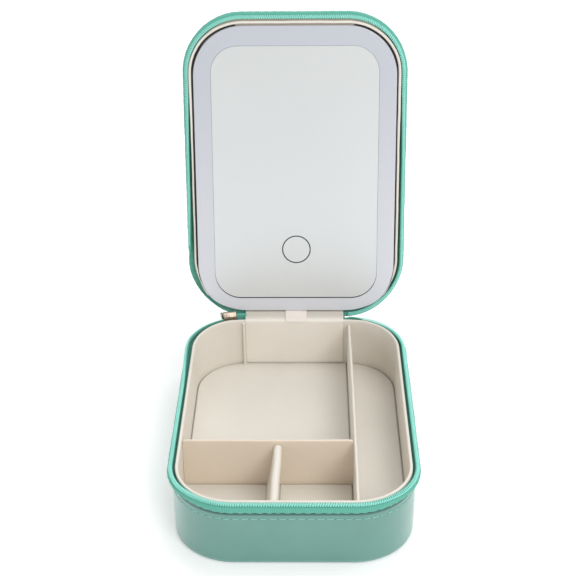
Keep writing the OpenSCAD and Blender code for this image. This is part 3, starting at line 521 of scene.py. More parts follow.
def make_piece(name, verts, faces, material, body, nodes=(), uv=None, sharp=42):
    """Makes an object of points in millimetres. Creases above the sharp angle stay sharp."""
    verts = np.asarray(verts, float)
    mesh = bpy.data.meshes.new(name)
    mesh.from_pydata((verts * MM).tolist(), [], faces)
    if uv is not None:
        layer = mesh.uv_layers.new(name="UVMap")
        layer.data.foreach_set("uv", (np.asarray(uv, float) * MM).ravel())
    fix = bmesh.new()
    fix.from_mesh(mesh)
    bmesh.ops.recalc_face_normals(fix, faces=fix.faces)
    fix.to_mesh(mesh)
    fix.free()
    mesh.polygons.foreach_set("use_smooth", [True] * len(mesh.polygons))
    mesh.set_sharp_from_angle(angle=math.radians(sharp))
    mesh.materials.append(material)
    made = bpy.data.objects.new(name, mesh)
    bpy.context.scene.collection.objects.link(made)
    if body:
        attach(made, body)
    if nodes:
        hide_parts(*nodes)
    return made


# %% [markdown]
# `sweep` carries a section along the route, as a maker runs a strip round the case. A shape function may
# move every point by where it is, which is what makes cloth and leather look slack and sewn by hand.

# %% Along the route
def sweep(name, section, lengths, material, body, nodes=(), closed=False, lid=False, shape=None, sharp=42):
    """Carries a closed section of (x outward, z) points along the route."""
    section = np.asarray(section, float)
    rows, cols = len(lengths), len(section)
    centre, angle = at_route(lengths)
    out = np.stack([np.cos(angle), np.sin(angle)], 1)
    x = np.tile(section[:, 0], (rows, 1))
    z = np.tile(section[:, 1], (rows, 1))
    if shape is not None:
        x, z = shape(np.asarray(lengths)[:, None], angle[:, None], x, z)
    flat = centre[:, None, :] + out[:, None, :] * (corner_r + x)[:, :, None]
    verts = np.concatenate([flat, z[:, :, None]], 2).reshape(-1, 3)
    if lid:
        verts = turn_open(verts)
    faces, uv = [], []
    edges = np.linalg.norm(np.diff(np.vstack([section, section[:1]]), axis=0), axis=1)
    girth = np.concatenate([[0], np.cumsum(edges)])
    run = list(lengths) + ([full_length + lengths[0]] if closed else [])
    for i in range(len(run) - 1):
        j = (i + 1) % rows
        for k in range(cols):
            m = (k + 1) % cols
            faces.append((i * cols + k, j * cols + k, j * cols + m, i * cols + m))
            uv += [(run[i], girth[k]), (run[i + 1], girth[k]), (run[i + 1], girth[k + 1]), (run[i], girth[k + 1])]
    if not closed:
        for i in (0, rows - 1):
            faces.append(tuple(i * cols + k for k in range(cols)))
            uv += [(run[i], girth[k]) for k in range(cols)]
    return make_piece(name, verts, faces, material, body, nodes, uv, sharp)


# %% [markdown]
# Nothing sewn by hand is quite straight. One slow wave of three frequencies serves every edge and fold, each
# with its own seed, so that no two edges wander together.

# %% Uneven by hand
def wobble(seed, size):
    """A smooth wave along the route that closes on itself: returns values for an array of lengths."""
    def wave(s):
        a = np.asarray(s, float) / full_length * math.tau
        total = np.zeros_like(a)
        for k, (turns, share) in enumerate(((7, 0.4), (17, 0.35), (37, 0.25))):
            total = total + share * np.sin(turns * a + seed * 1.7 + k * 2.1)
        return size * total
    return wave


# %% [markdown]
# ## Outer leather
# The wall is one sheet wrapped round the case. Its top edge is folded and sewn to the zip tape, which
# draws a shallow valley at the stitches, and the padding behind makes it swell a little between the
# stitches and the bottom edge. The fold wanders by a few tenths, as hand-guided sewing does.

# %% Leather walls
cover_inset, leather_t, cover_drop = 3.4, 0.9, 7.2
stitch_drop, turned_in = 12.9, 6.5
case_edge_r, lid_edge_r = 2.3, 4.2
above_floor, below_top = 0.12, 0.6
fold_reach, swell_drop, swell_span = 3.0, 22.0, 9.0


def cover_section(depth, edge_r):
    """Leather wall in distances from the opening plane, from the folded edge to the turned-in bottom."""
    out, back = -cover_inset, -cover_inset - leather_t
    return rounded([(out - 0.75, cover_drop, 0.3), (out - 0.55, cover_drop + 1.3, 0.6),
                    (out, cover_drop + 2.4, 0.8), (out, stitch_drop - 1.0, 0.6),
                    (out - 0.22, stitch_drop, 0.5), (out, stitch_drop + 1.2, 0.8),
                    (out + 0.3, (stitch_drop + depth) / 2, 8.0), (out, depth - edge_r - 1, 2.0),
                    (out, depth, edge_r), (out - turned_in, depth, 0.0),
                    (out - turned_in, depth - leather_t, 0.0),
                    (back, depth - leather_t, edge_r * 0.6), (back, stitch_drop + 6, 0.0),
                    (back, cover_drop, 0.4)], 6, 3.0)


def cover_shape(side, seed):
    """A folded edge that wanders and a padded middle, for the case (-1) or the lid (1)."""
    edge, swell = wobble(seed, 0.22), wobble(seed + 3, 0.14)

    def shape(s, angle, x, t):
        near = np.clip((cover_drop + fold_reach - t) / fold_reach, 0, 1)
        middle = np.exp(-((t - swell_drop) / swell_span) ** 2)
        t = t + near * edge(s)
        x = x + middle * swell(s)
        return x, base_h + side * t
    return shape


around = stations(0.0, full_length)[:-1]
# Both walls carry the painted shadow of the zip tape along their folded top edge.
case_leather = sweep("case_leather", cover_section(base_h - above_floor, case_edge_r), around, walls_with_tape_shadow,
                     "base", ["base_cover_wall"], closed=True, shape=cover_shape(-1, 1))
lid_leather = sweep("lid_leather", cover_section(lid_h - below_top, lid_edge_r), around, walls_with_tape_shadow, "lid",
                    ["lid_cover_wall"], closed=True, lid=True, shape=cover_shape(1, 2))
print("leather walls", len(case_leather.data.vertices), len(lid_leather.data.vertices))

# %% [markdown]
# What doesn't follow the route is a loft: loops with the same number of points, joined to one skin. It needs
# no cutting or joining of solids, so edges can roll and faces can swell in the same mesh.

# %% Lofts
def outline_points(inset, w=case_w, d=case_d, r=corner_r, y0=0.0, per_corner=24):
    """Rounded rectangle as points, anticlockwise."""
    x, y = w / 2 - r, d / 2 - r
    points = []
    for k, (sx, sy) in enumerate(((1, 1), (-1, 1), (-1, -1), (1, -1))):
        for i in range(per_corner + 1):
            a = math.pi / 2 * (k + i / per_corner)
            points.append((sx * x + (r - inset) * math.cos(a), y0 + sy * y + (r - inset) * math.sin(a)))
    return np.array(points)


def level_loop(inset, z):
    """The case outline, pulled in, at one height."""
    flat = outline_points(inset)
    return np.column_stack([flat, np.full(len(flat), z)])


def stack_loops(loops, closed=True):
    """Joins loops of equal length into one skin. If closed, the first and the last become faces."""
    n = len(loops[0])
    faces = []
    for i in range(len(loops) - 1):
        for k in range(n):
            m = (k + 1) % n
            faces.append((i * n + k, i * n + m, (i + 1) * n + m, (i + 1) * n + k))
    if closed:
        faces += [tuple(range(n)), tuple((len(loops) - 1) * n + k for k in range(n))]
    return np.concatenate(loops), faces


def loft(name, loops, material, body, nodes=(), lid=False, closed=True, sharp=42):
    """A piece from loops of points in millimetres, drawn with the lid shut if it belongs there."""
    verts, faces = stack_loops(loops, closed)
    return make_piece(name, turn_open(verts) if lid else verts, faces, material, body, nodes, sharp=sharp)


# %% [markdown]
# The bottom and the lid top are cut sheets. Each is built from loops of the case outline that step inward,
# so that the edge rolls over and the middle can rise: the lid top lies on foam and is slightly crowned.

# %% Leather bottom and lid top
bottom_rows = [(9.8, 0.95), (9.4, 0.8), (9.3, 0.4), (9.5, 0.08), (10.0, 0.0), (14.0, 0.0)]
loft("bottom_leather", [level_loop(i, z) for i, z in bottom_rows], outer_leather, "base",
     ["base_cover_bottom"])
crown = 0.7
top_rows = [(9.6, -1.4), (9.3, -1.2), (9.2, -0.7), (9.4, -0.35), (10.2, -0.15), (16, 0.05), (26, 0.35),
            (34, 0.55), (40, crown)]
lid_top = loft("lid_top_leather", [level_loop(i, base_h + lid_h + z - 0.3) for i, z in top_rows], outer_leather,
               "lid", ["lid_cover_top"], lid=True)
print("crowned lid top", len(lid_top.data.vertices), "points")

# %% [markdown]
# Stitches are real thread, not paint: short capsules that dive into the leather at both ends. One capsule
# is modelled and set down at an even pitch along the route, and a row is one piece.

# %% One stitch and a row of them
stitch_pitch, stitch_l, stitch_r = 5.8, 4.5, 0.38
stitch_sink, stitch_tilt = 0.1, 0.05
hole_l, hole_r = 0.8, 0.26


def capsule(length, radius, rings=7, sides=6):
    """Thread stitch along X: full in the middle, sunk and thin at its ends."""
    loops = []
    for f in np.linspace(-1, 1, rings):
        r = radius * math.sqrt(max(0.08, 1 - abs(f) ** 3))
        sink = -0.45 * radius * f * f
        turn = np.arange(sides) / sides * math.tau
        loops.append(np.column_stack([np.full(sides, f * length / 2), r * np.cos(turn) + sink, r * np.sin(turn)]))
    return stack_loops(loops)


def row_of(name, template, places, x, z, material, body, lid=False, tilt=0.0):
    """Copies of a template, its X along the route and its Y outward, joined in one piece."""
    shape, faces = template
    centre, angle = at_route(places)
    verts, all_faces = [], []
    c, s = math.cos(tilt), math.sin(tilt)
    shape = np.stack([shape[:, 0] * c - shape[:, 2] * s, shape[:, 1], shape[:, 0] * s + shape[:, 2] * c], 1)
    for (cx, cy), a in zip(centre, angle):
        out = np.array((math.cos(a), math.sin(a)))
        along = np.array((-out[1], out[0]))
        flat = np.array((cx, cy)) + out * (corner_r + x) + shape[:, :1] * along + shape[:, 1:2] * out
        base = len(verts) * len(shape)
        verts.append(np.column_stack([flat, z + shape[:, 2]]))
        all_faces += [tuple(base + k for k in f) for f in faces]
    verts = np.concatenate(verts)
    return make_piece(name, turn_open(verts) if lid else verts, all_faces, material, body)


# %% [markdown]
# The wall leather has one row on each half. A needle hole lies between every two stitches, where the
# thread goes through, and a dark speck of painted shade there stands for the hole and makes a row read as sewn.

# %% Stitch rows
count = round(full_length / stitch_pitch)
stitch_places = (np.arange(count) + 0.5) * full_length / count
hole_places = np.arange(count) * full_length / count
for body, side in (("base", -1), ("lid", 1)):
    row_of(f"{body}_stitches", capsule(stitch_l, stitch_r), stitch_places, -cover_inset - stitch_sink,
           base_h + side * stitch_drop, thread, body, side > 0, stitch_tilt)
    row_of(f"{body}_needle_holes", capsule(hole_l, hole_r), hole_places, -cover_inset - hole_r,
           base_h + side * stitch_drop, hole_shade_speck, body, side > 0)
print("stitches in each row", count)

# %% [markdown]
# ## Zip
# The tape comes out from behind the leather and swells outward. Its free edge stands up where the slider
# holds both halves together. Behind it the weight of the coil lets the edge fall inward over the rim. So
# three lines are drawn, standing, fallen and tucked, and the section blends between them along the route.

# %% Three lines of the tape
tape_t = 0.5
sewn = [(-4.65, 16.0), (-4.65, 11.0), (-4.6, 7.6)]
standing_line = sewn + [(-3.0, 6.75), (-1.2, 5.9), (-0.35, 4.75), (-0.7, 3.7), (-1.6, 3.0), (-2.1, 1.9),
                        (-2.1, 0.3)]
fallen_line = sewn + [(-3.0, 6.9), (-1.1, 6.1), (-0.2, 4.9), (-0.3, 3.6), (-1.0, 2.75), (-2.6, 2.45),
                      (-4.5, 2.3)]
tucked_line = sewn + [(-3.0, 6.75), (-1.4, 6.0), (-1.05, 5.78), (-0.83, 5.6), (-0.68, 5.4), (-0.58, 5.2),
                      (-0.5, 5.0)]
hinge_cut, past_hinge = 0.7, 1.9
travel_end = corner_r * math.radians(88)
fall_run, side_upright, lid_squeeze = 55.0, 0.45, 0.86
halves = {-1: ("lower", "base"), 1: ("upper", "lid")}
print("slider stops", round(travel_end, 1), "mm along the route")

# %% [markdown]
# These functions say how far the tape has fallen at a place on the route, and where it is lifted or drawn.
# All of them fade in and out smoothly, because cloth has no sudden kinks.

# %% How the tape falls
def smoothstep(low, high, value):
    f = np.clip((value - low) / (high - low), 0, 1)
    return f * f * (3 - 2 * f)


def near_hinge(s):
    """1 on the lid's half at the hinge, fading to 0 at its front corners."""
    low, high = QUARTER + 70, QUARTER + 135
    return 1 - smoothstep(low, high, s) + smoothstep(open_length - high, open_length - low, s)


def fallen(s, angle, side):
    """How far the free edge has fallen inward: not at all where the slider runs, then fully, and by half
    along the sides, where the tape stands nearly upright. The case's tape stands up again at its end."""
    sideways = smoothstep(0.5, 0.95, np.abs(np.cos(angle)))
    upright = side_upright * sideways * (near_hinge(s) if side > 0 else 1.0)
    last = smoothstep(open_length - 24, open_length - 5, s) * (side < 0)
    return smoothstep(travel_end, travel_end + fall_run, s) * (1 - upright) * (1 - last)


def front(angle):
    """1 along the front, fading to 0 round its corners."""
    return np.clip(-np.sin(angle), 0, 1) ** 2


def at_back(angle):
    """The rim and the tape of the case lie a little higher at the back."""
    lift = np.sin(angle)
    return 1.2 * smoothstep(0.0, 0.8, lift) - 0.6 * smoothstep(0.93, 1.0, lift)


def hinge_pull(s):
    """Near the hinge the lid's tape is drawn out towards the tape of the case."""
    near = corner_r * math.radians(62)
    return 2.1 * (1 - smoothstep(0, near, s) + smoothstep(open_length - near, open_length, s))


# %% [markdown]
# The stitches gather the tape: it puckers once for every stitch, and its hem wanders. Near the hinge the
# lid's tape is drawn towards the case's tape.

# %% Zip tapes
def tape(side, seed):
    """The tape of the case (-1) or the lid (1): a standing ribbon that each place bends in its own way."""
    standing, resting, hidden = [ribbon(smooth_path(line, 4), tape_t)
                                 for line in (standing_line, fallen_line, tucked_line)]
    bulge, hem = wobble(seed, 0.14), wobble(seed + 9, 0.16)

    def shape(s, angle, x, t):
        fall, tuck = fallen(s, angle, side), (1 - smoothstep(travel_end, travel_end + 14, s)) * (side > 0)
        lie = resting[:, 0] * (lid_squeeze + 0.3 * front(angle) if side > 0 else 1.0)
        x = x + fall * (lie - x) + tuck * (hidden[:, 0] - x)
        t = t + fall * (resting[:, 1] - t) + tuck * (hidden[:, 1] - t)
        free = np.exp(-((t - 5.0) / 1.9) ** 2)
        gather = 0.1 * np.cos(s / stitch_pitch * math.tau) * free
        hem_wave = 0.32 * np.cos(s / stitch_pitch * math.tau + bulge(s) * 12) * np.exp(-((t - 6.2) / 0.9) ** 2)
        loose = 1 - smoothstep(6.0, 9.0, t)
        drawn = hinge_pull(s) * loose
        if side < 0:
            drawn = -1.3 * np.sin(2 * angle) ** 2 * fall * loose
            t = t - at_back(angle) * fall * (1 - smoothstep(3.0, 6.0, t))
        drawn = drawn - 1.3 * smoothstep(open_length - 4, open_length, s) * loose * (side < 0)
        return x + free * bulge(s) + gather + drawn, base_h + side * (t + free * hem(s) + gather + hem_wave)
    half, body = halves[side]
    return sweep(f"{half}_tape", standing, stations(hinge_cut, open_length + past_hinge, 1.6), zip_tape, body,
                 [f"{half}_zip_tape"], lid=side > 0, shape=shape)


for side, seed in ((-1, 5), (1, 6)):
    made = tape(side, seed)
    print(made.name, len(made.data.vertices), "points")

# %% [markdown]
# Between the slider and the hinge strip the zip is closed for good: both coils lie flat in a folded piece
# of tape, which is one short sweep.

# %% Closed end of the chain
stub_lengths = np.linspace(corner_r * math.radians(2.2) - 1.6, corner_r * math.radians(10.4), 14)
stub_section = rounded([(-0.2, -1.15, 0.5), (-0.2, 2.2, 0.5), (-2.4, 2.2, 0.5), (-2.4, -2.6, 0.2), (-1.6, -2.6, 0)],
                       4, 0.7)
sweep("chain_stub", stub_section, stub_lengths, zip_tape, "base", ["zip_chain_end"],
      shape=lambda s, angle, x, t: (x, base_h + t), sharp=60)
print("closed end", round(stub_lengths[-1] - stub_lengths[0], 1), "mm")

# %% [markdown]
# The teeth of such a zip are one long plastic coil sewn to the edge of the tape, so each half is one helix
# of monofilament that runs the whole way round. Its turns are flattened ovals: the long side lies across
# the tape, and the five numbers say where their middle is, how the long side points, and how thick they are.

# %% Zip coils
coil_pitch, coil_wire = 1.55, 0.36
coil_standing = np.array((0.98, 1.5, 0.2, 0.75, 0.62))
coil_lying = {-1: np.array((3.05, 1.36, 1.38, 0.12, 0.5)), 1: np.array((2.65, 1.36, 1.12, 0.1, 0.5))}


def coil(side, start):
    """The helix of one half from a length along the route to the far end of the hinge."""
    steps, sides = 12, 6
    turns = int((open_length - hinge_cut - 1.0 - start) / coil_pitch)
    k = np.arange(turns * steps + 1)
    lengths, phase = start + 0.5 + k / steps * coil_pitch, k / steps * math.tau
    centre, angle = at_route(lengths)
    out = np.stack([np.cos(angle), np.sin(angle)], 1)
    fall = fallen(lengths, angle, side)[:, None]
    inset, depth, long_x, long_t, short = ((1 - fall) * coil_standing + fall * coil_lying[side]).T
    if side > 0:
        inset = inset * (1 + 0.3 * front(angle) * fall[:, 0]) - hinge_pull(lengths)
    length = np.hypot(long_x, long_t)
    x = -inset + long_x * np.cos(phase) + short * long_t / length * np.sin(phase)
    t = depth + long_t * np.cos(phase) - short * long_x / length * np.sin(phase)
    if side < 0:
        depth, t = depth - at_back(angle) * fall[:, 0], t - at_back(angle) * fall[:, 0]
    line = np.column_stack([centre + out * (corner_r + x)[:, None], base_h + side * t])
    middle = np.column_stack([centre + out * (corner_r - inset)[:, None], base_h + side * depth])
    run = np.gradient(line, axis=0)
    run /= np.linalg.norm(run, axis=1)[:, None]
    radial = line - middle
    radial -= (radial * run).sum(1)[:, None] * run
    radial /= np.linalg.norm(radial, axis=1)[:, None]
    other = np.cross(run, radial)
    a = np.arange(sides) / sides * math.tau
    rings = line[:, None] + coil_wire * (np.cos(a)[None, :, None] * radial[:, None]
                                         + np.sin(a)[None, :, None] * other[:, None])
    half, body = halves[side]
    print(half, "coil", turns, "turns")
    return loft(f"{half}_coil", list(rings), zip_coil, body, [f"{half}_zip_teeth"], lid=side > 0,
                sharp=80)


coil(-1, corner_r * math.radians(9))
coil(1, travel_end + 12)

# %% [markdown]
# The slider is a small cast body: closed above, open below where the tape leaves it, high at its mouth and
# low at its tail. It is swept along the same route, so it curves with the zip, and the ends are rounded.

# %% Zip slider
slider_rest, slider_half = math.radians(18.8), math.radians(8.2)
mouth_trim = math.radians(3.0)
plate_out, inner_face, channel_in, channel_out = 1.5, -3.15, -2.55, 0.35
outer_heights, inner_heights = (3.35, 4.3), (1.7, 3.1)
slider_lengths = corner_r * np.concatenate([
    slider_rest - slider_half + np.array((0, 0.05, 0.2, 0.45)) / corner_r,
    np.linspace(slider_rest - slider_half + 0.02, slider_rest + slider_half - mouth_trim - 0.02, 16),
    slider_rest + slider_half - mouth_trim - np.array((0.45, 0.2, 0.05, 0)) / corner_r])


def slider_shape(s, angle, x, z):
    """Heights grow from the tail to the mouth, and both ends are rounded off."""
    f = (s / corner_r - slider_rest + slider_half) / (2 * slider_half)
    outer = outer_heights[0] + (outer_heights[1] - outer_heights[0]) * smoothstep(0.2, 1.0, f)
    inner = inner_heights[0] + (inner_heights[1] - inner_heights[0]) * smoothstep(0.2, 1.0, f)
    tall = inner + (outer - inner) * smoothstep(inner_face, 0.6, x)
    d = np.minimum(s - slider_lengths[0], slider_lengths[-1] - s)
    end = 0.45 * (1 - np.sqrt(np.clip(1 - (1 - np.clip(d / 0.6, 0, 1)) ** 2, 0, 1)))
    middle = (plate_out + inner_face) / 2
    return x + (middle - x) * end * 0.3, base_h + z * (tall - end)


slider_section = rounded([(plate_out, -1, 0.35), (plate_out, 1, 0.4), (inner_face, 1, 0.5), (inner_face, -1, 0.2),
                          (channel_in, -1, 0), (channel_in, 0.55, 0.1), (channel_out, 0.55, 0.1),
                          (channel_out, -1, 0)], 5, 0.6)
sweep("slider", slider_section, slider_lengths, slider_metal, "slider", ["zip_slider"],
      shape=slider_shape, sharp=50)
print("slider", round(slider_lengths[-1] - slider_lengths[0], 1), "mm long")

# %% [markdown]
# Two ears on the slider's outer face hold the pin of the pull. They are flat profiles with some thickness,
# drawn in the slider's own frame, X along it and Y outward, and turned to where it rests.

# %% Slider ears and pin
def slider_ears():
    knuckle, pin_r, ear_t, half, out = 1.95, 0.75, 1.1, 4.7, plate_out + 2.45
    c, s = math.cos(slider_rest), math.sin(slider_rest)
    turn = np.array(((c, -s), (s, c)))
    ear = [(plate_out - 0.4, -knuckle)]
    ear += [(out + knuckle * math.cos(a), knuckle * math.sin(a))
            for a in np.linspace(-math.pi / 2, math.pi / 2, 17)]
    ear += [(plate_out - 0.4, knuckle)]
    pin = [(out + pin_r * math.cos(a), pin_r * math.sin(a)) for a in np.linspace(0, math.tau, 16, endpoint=False)]
    verts, faces = [], []
    for profile, x0, x1 in ((ear, -half, -half + ear_t), (ear, half - ear_t, half), (pin, -half + 0.3, half - 0.3)):
        sides = [np.array([(x, y, z) for y, z in profile]) for x in (x0, x1)]
        more, some = stack_loops(sides)
        faces += [tuple(len(verts) + k for k in face) for face in some]
        for x, y, z in more:
            flat = turn @ np.array((x, corner_r + y)) + np.array((-corner_x, corner_y))
            verts.append((flat[0], flat[1], base_h + z))
    return make_piece("slider_ears", verts, faces, slider_metal, "slider", sharp=40)


ears = slider_ears()
print("slider ears and pin", len(ears.data.vertices), "points")

# %% [markdown]
# ## Lining
# The lining leather covers the inside wall, rolls over the board's edge as a round rim and is turned
# down outside it. It is a thin skin, so inside and outside are drawn as one section of half a millimetre.

# %% Base lining
lining_t = 0.5
base_face, rim_r = 7.2, 1.05


def rim_section(face, depth, turn_down):
    """Lining over a rim, in distances from the opening plane."""
    middle = face - rim_r
    roll = [(-middle + rim_r * math.cos(a), rim_drop + rim_r - rim_r * math.sin(a))
            for a in np.linspace(math.pi, 0, 9)]
    hidden = [(-middle + (rim_r - lining_t) * math.cos(a), rim_drop + rim_r - (rim_r - lining_t) * math.sin(a))
              for a in np.linspace(0, math.pi, 7)]
    wall_in = [(-face, t) for t in np.linspace(depth, rim_drop + rim_r + 2.5, 8)]
    wall_out = [(-face + lining_t, t) for t in np.linspace(rim_drop + rim_r + 3, depth, 6)]
    foot = rim_drop + turn_down
    outside = [(-middle + rim_r, foot), (-middle + rim_r - lining_t, foot)]
    return np.array(wall_in + roll + outside + hidden + wall_out)


def lining_shape(seed):
    """Lining that stands off the wall a little, and a rim that is raised at the back."""
    slack = wobble(seed, 0.22)

    def shape(s, angle, x, t):
        loose = np.clip((t - 4) / 10, 0, 1) * np.clip((36 - t) / 8, 0, 1)
        return x - loose * np.abs(slack(s)) * 0.6, base_h - (t - at_back(angle) * (t < 7))
    return shape


case_lining = sweep("case_lining", rim_section(base_face, base_h - 4.2, 4.8), around, lining_leather, "base",
                    ["base_lining"], closed=True, shape=lining_shape(8), sharp=60)
print("case lining", len(case_lining.data.vertices), "points")

# %% [markdown]
# In the lid the rim dies away behind the panel near the hinge, because the panel reaches out over it
# there. The section is pressed flat against the panel's edge until nothing of it is left to see.

# %% Lid lining
lid_face = 6.5
panel_side, panel_back, panel_front = 7.5, 3.3, 9.4
panel_w = case_w - 2 * panel_side
panel_l = case_d - panel_back - panel_front
panel_y = (panel_front - panel_back) / 2
panel_r = corner_r - panel_side
panel_gap, fuller = 0.22, 1.2


def panel_inset(angle):
    """Distance from the tape line in to the panel's edge, along an outward direction at a back corner."""
    lift = panel_side - panel_back
    back = np.clip(np.sin(angle), 0, 1)
    reach = lift * back + np.sqrt(panel_r ** 2 - (lift * (1 - back ** 2) ** 0.5) ** 2)
    return np.where(np.sin(angle) > 0, corner_r - reach - fuller * np.sin(2 * angle) ** 4, panel_side)


rim_wave, rim_set_back = wobble(4, 1.0), 1.55


def lid_rim_shape(s, angle, x, t):
    """Keeps the rim clear of the panel, thins it towards the hinge and draws it back along the front."""
    limit = -(panel_inset(angle) - panel_gap)
    pressed = np.where(t < 6.0, np.maximum(x, limit), x)
    left = 0.35 * np.clip(-np.cos(angle), 0, 1) ** 2
    thinner = (0.1 + 0.3 * left + (0.25 + 0.8 * left) * near_hinge(s)) * smoothstep(0.5, 1.7, x + lid_face)
    return pressed - rim_set_back * front(angle) + left - thinner + 0.12 * rim_wave(s), base_h + t


rim_from = corner_r * math.radians(46)
lid_rim = sweep("lid_rim", rim_section(lid_face, 20.3, 4.8), stations(rim_from, open_length - rim_from),
                lining_leather, "lid", ["lid_lining"], lid=True, shape=lid_rim_shape, sharp=60)
print("panel", panel_w, "x", round(panel_l, 1), "mm, rim points", len(lid_rim.data.vertices))

# %% [markdown]
# A line of painted shade fills what is left between the rim and the panel's edge: black at the sides, where
# the gap is deep, and brown along the front, where the lining lies in the rim's shadow.

# %% Painted shade round the panel
def gap_shade_shape(s, angle, x, t):
    """Stretches the line between the panel's edge and the rim, whatever is left between them."""
    inner = -(panel_inset(angle) + 1.9 * front(angle)) + 0.05
    outer = -(lid_face + rim_set_back * front(angle)) + 0.2
    return np.where(x < -7.0, inner, np.maximum(outer, inner + 0.05)), base_h + t


gap_shade_from, front_shade_past = corner_r * math.radians(62), 6.0
gap_shade_section = rounded([(-6.6, 1.9, 0.2), (-6.6, 3.2, 0), (-7.4, 3.2, 0), (-7.4, 1.9, 0.2)])
front_shade_from, front_shade_to = STARTS[3] - front_shade_past, STARTS[4] + front_shade_past
# Painted shade: black along the sides, brown along the front.
for name, start, end, finish in (("gap_shade_left", gap_shade_from, front_shade_from, gap_shade_black),
                                 ("gap_shade_front", front_shade_from, front_shade_to, gap_shade_brown),
                                 ("gap_shade_right", front_shade_to, open_length - gap_shade_from, gap_shade_black)):
    sweep(name, gap_shade_section, stations(start, end), finish, "lid", lid=True, shape=gap_shade_shape)
print("felt", round(front_shade_to - front_shade_from, 1), "mm")

# %% [markdown]
# ## Floor pads
# Four loose pads of board in soft leather lie on the floor. Each is the tray outline cut by the dividers.
# The edge is rolled, and the face is crowned by a fraction of a millimetre.

# %% Outlines of the pads
divider_t, divider_drop = 1.8, 2.5
long_x, cross_y = 39.5, -41.6
middle_x, foot_left, foot_right = -10.4, 8.6, 0.8
pad_gap, pad_low, pad_high = 0.7, 8.4, 10.6
fit_gap, foot_z = 0.15, pad_low + 0.05


def clip(points, axis, limit, above):
    """Cuts a convex outline along one axis."""
    kept = []
    for a, b in zip(points, np.roll(points, -1, axis=0)):
        inside_a = (a[axis] >= limit) == above
        inside_b = (b[axis] >= limit) == above
        if inside_a:
            kept.append(a)
        if inside_a != inside_b:
            kept.append(a + (b - a) * (limit - a[axis]) / (b[axis] - a[axis]))
    return np.array(kept)


def even_loop(points, step=2.5):
    """The same outline with evenly spaced points."""
    closed = np.vstack([points, points[:1]])
    gaps = np.linalg.norm(np.diff(closed, axis=0), axis=1)
    run = np.concatenate([[0], np.cumsum(gaps)])
    want = np.linspace(0, run[-1], int(run[-1] / step), endpoint=False)
    return np.column_stack([np.interp(want, run, closed[:, 0]), np.interp(want, run, closed[:, 1])])


def pull_in(points, distance):
    """Moves an anticlockwise outline inward along its normals."""
    run = np.roll(points, -1, axis=0) - np.roll(points, 1, axis=0)
    side = np.stack([-run[:, 1], run[:, 0]], 1) / np.linalg.norm(run, axis=1)[:, None]
    return points + side * distance


# %% [markdown]
# Each pad is a loft of its outline: up the rolled edge, then inward over the face in ever smaller copies,
# which gives enough points for a soft crown with slow unevenness in it.

# %% Floor pads
def floor_pad(name, cuts, node, seed):
    """A pad: the tray's outline after its cuts, each given as axis, limit and whether the far side stays."""
    points = outline_points(base_face + pad_gap)
    for axis, limit, above in cuts:
        points = clip(points, axis, limit, above)
    points = even_loop(points)
    middle = points.mean(0)
    rows = [(0.5, pad_low), (0.1, pad_low + 0.3), (0.0, pad_low + 1.1), (0.08, pad_high - 0.5),
            (0.3, pad_high - 0.2), (0.7, pad_high - 0.04), (1.3, pad_high)]
    loops = [np.column_stack([pull_in(points, i), np.full(len(points), z)]) for i, z in rows]
    inner = pull_in(points, 1.3)
    for share in (0.93, 0.82, 0.68, 0.52, 0.36, 0.2, 0.08):
        flat = middle + (inner - middle) * share
        uneven = np.array([noise.noise(Vector((x / 23, y / 23, seed))) for x, y in flat])
        loops.append(np.column_stack([flat, pad_high + 0.25 * (1 - share ** 4) + 0.1 * uneven]))
    made = loft(name, loops, pad_leather, "base", [node], sharp=70)
    return made


beside = divider_t / 2 + pad_gap
behind_cross, before_cross = (1, cross_y + beside, True), (1, cross_y - beside, False)
left_of_long, right_of_long = (0, long_x - beside, False), (0, long_x + beside, True)
left_of_fold, right_of_fold = (0, middle_x - foot_left + 0.55, False), (0, middle_x + foot_right + 0.1, True)
floor_pad("pad_large", [left_of_long, behind_cross], "floor_pad_large", 1)
floor_pad("pad_long", [right_of_long], "floor_pad_long", 2)
floor_pad("pad_left", [left_of_fold, before_cross], "floor_pad_left", 3)
floor_pad("pad_right", [right_of_fold, left_of_long, before_cross], "floor_pad_right", 4)
print("floor pads", pad_high - pad_low, "mm thick")

# %% [markdown]
# ## Dividers
# The long and cross dividers are boards in leather: flat sides, a rounded top, and ends whose top corner
# is rounded off. They bow by a few tenths of a millimetre over their length, which breaks up the light.

# %% A board in leather
def board(name, start, end, node, bow, seed, material, thick=divider_t, round_end=2.2):
    """An upright board between two points of the plan, its section carried along and bent by the bow."""
    start, end = np.array(start, float), np.array(end, float)
    length = np.linalg.norm(end - start)
    run = (end - start) / length
    side = np.array((-run[1], run[0]))
    top, low = base_h - divider_drop, foot_z
    near = np.concatenate([np.linspace(0, round_end, 6)[:-1], np.linspace(round_end, length - round_end, 60),
                           np.linspace(length - round_end, length, 6)[1:]])
    half, loops = thick / 2, []
    for s in near:
        d = min(s, length - s)
        crest = top - (round_end - math.sqrt(max(0, round_end ** 2 - max(0, round_end - d) ** 2))) - half
        flank = [low + (crest - low) * h for h in np.linspace(0, 1, 14)]
        section = [(-half, z) for z in flank]
        section += [(half * math.cos(a), crest + half * math.sin(a)) for a in np.linspace(math.pi, 0, 9)[1:-1]]
        section += [(half, z) for z in flank[::-1]]
        bend = bow * math.sin(math.pi * s / length) + 0.12 * noise.noise(Vector((s / 19, seed, 0)))
        rows = []
        for u, z in section:
            lean = bend * (z - low) / (top - low)
            puff = 0.06 * noise.noise(Vector((s / 14, z / 14, seed + (3 if u > 0 else 0))))
            p = start + run * s + side * (u + lean + math.copysign(puff, u))
            rows.append((p[0], p[1], z))
        loops.append(np.array(rows))
    print(name, round(length, 1), "mm long")
    return loft(name, loops, material, "base", [node], sharp=60)


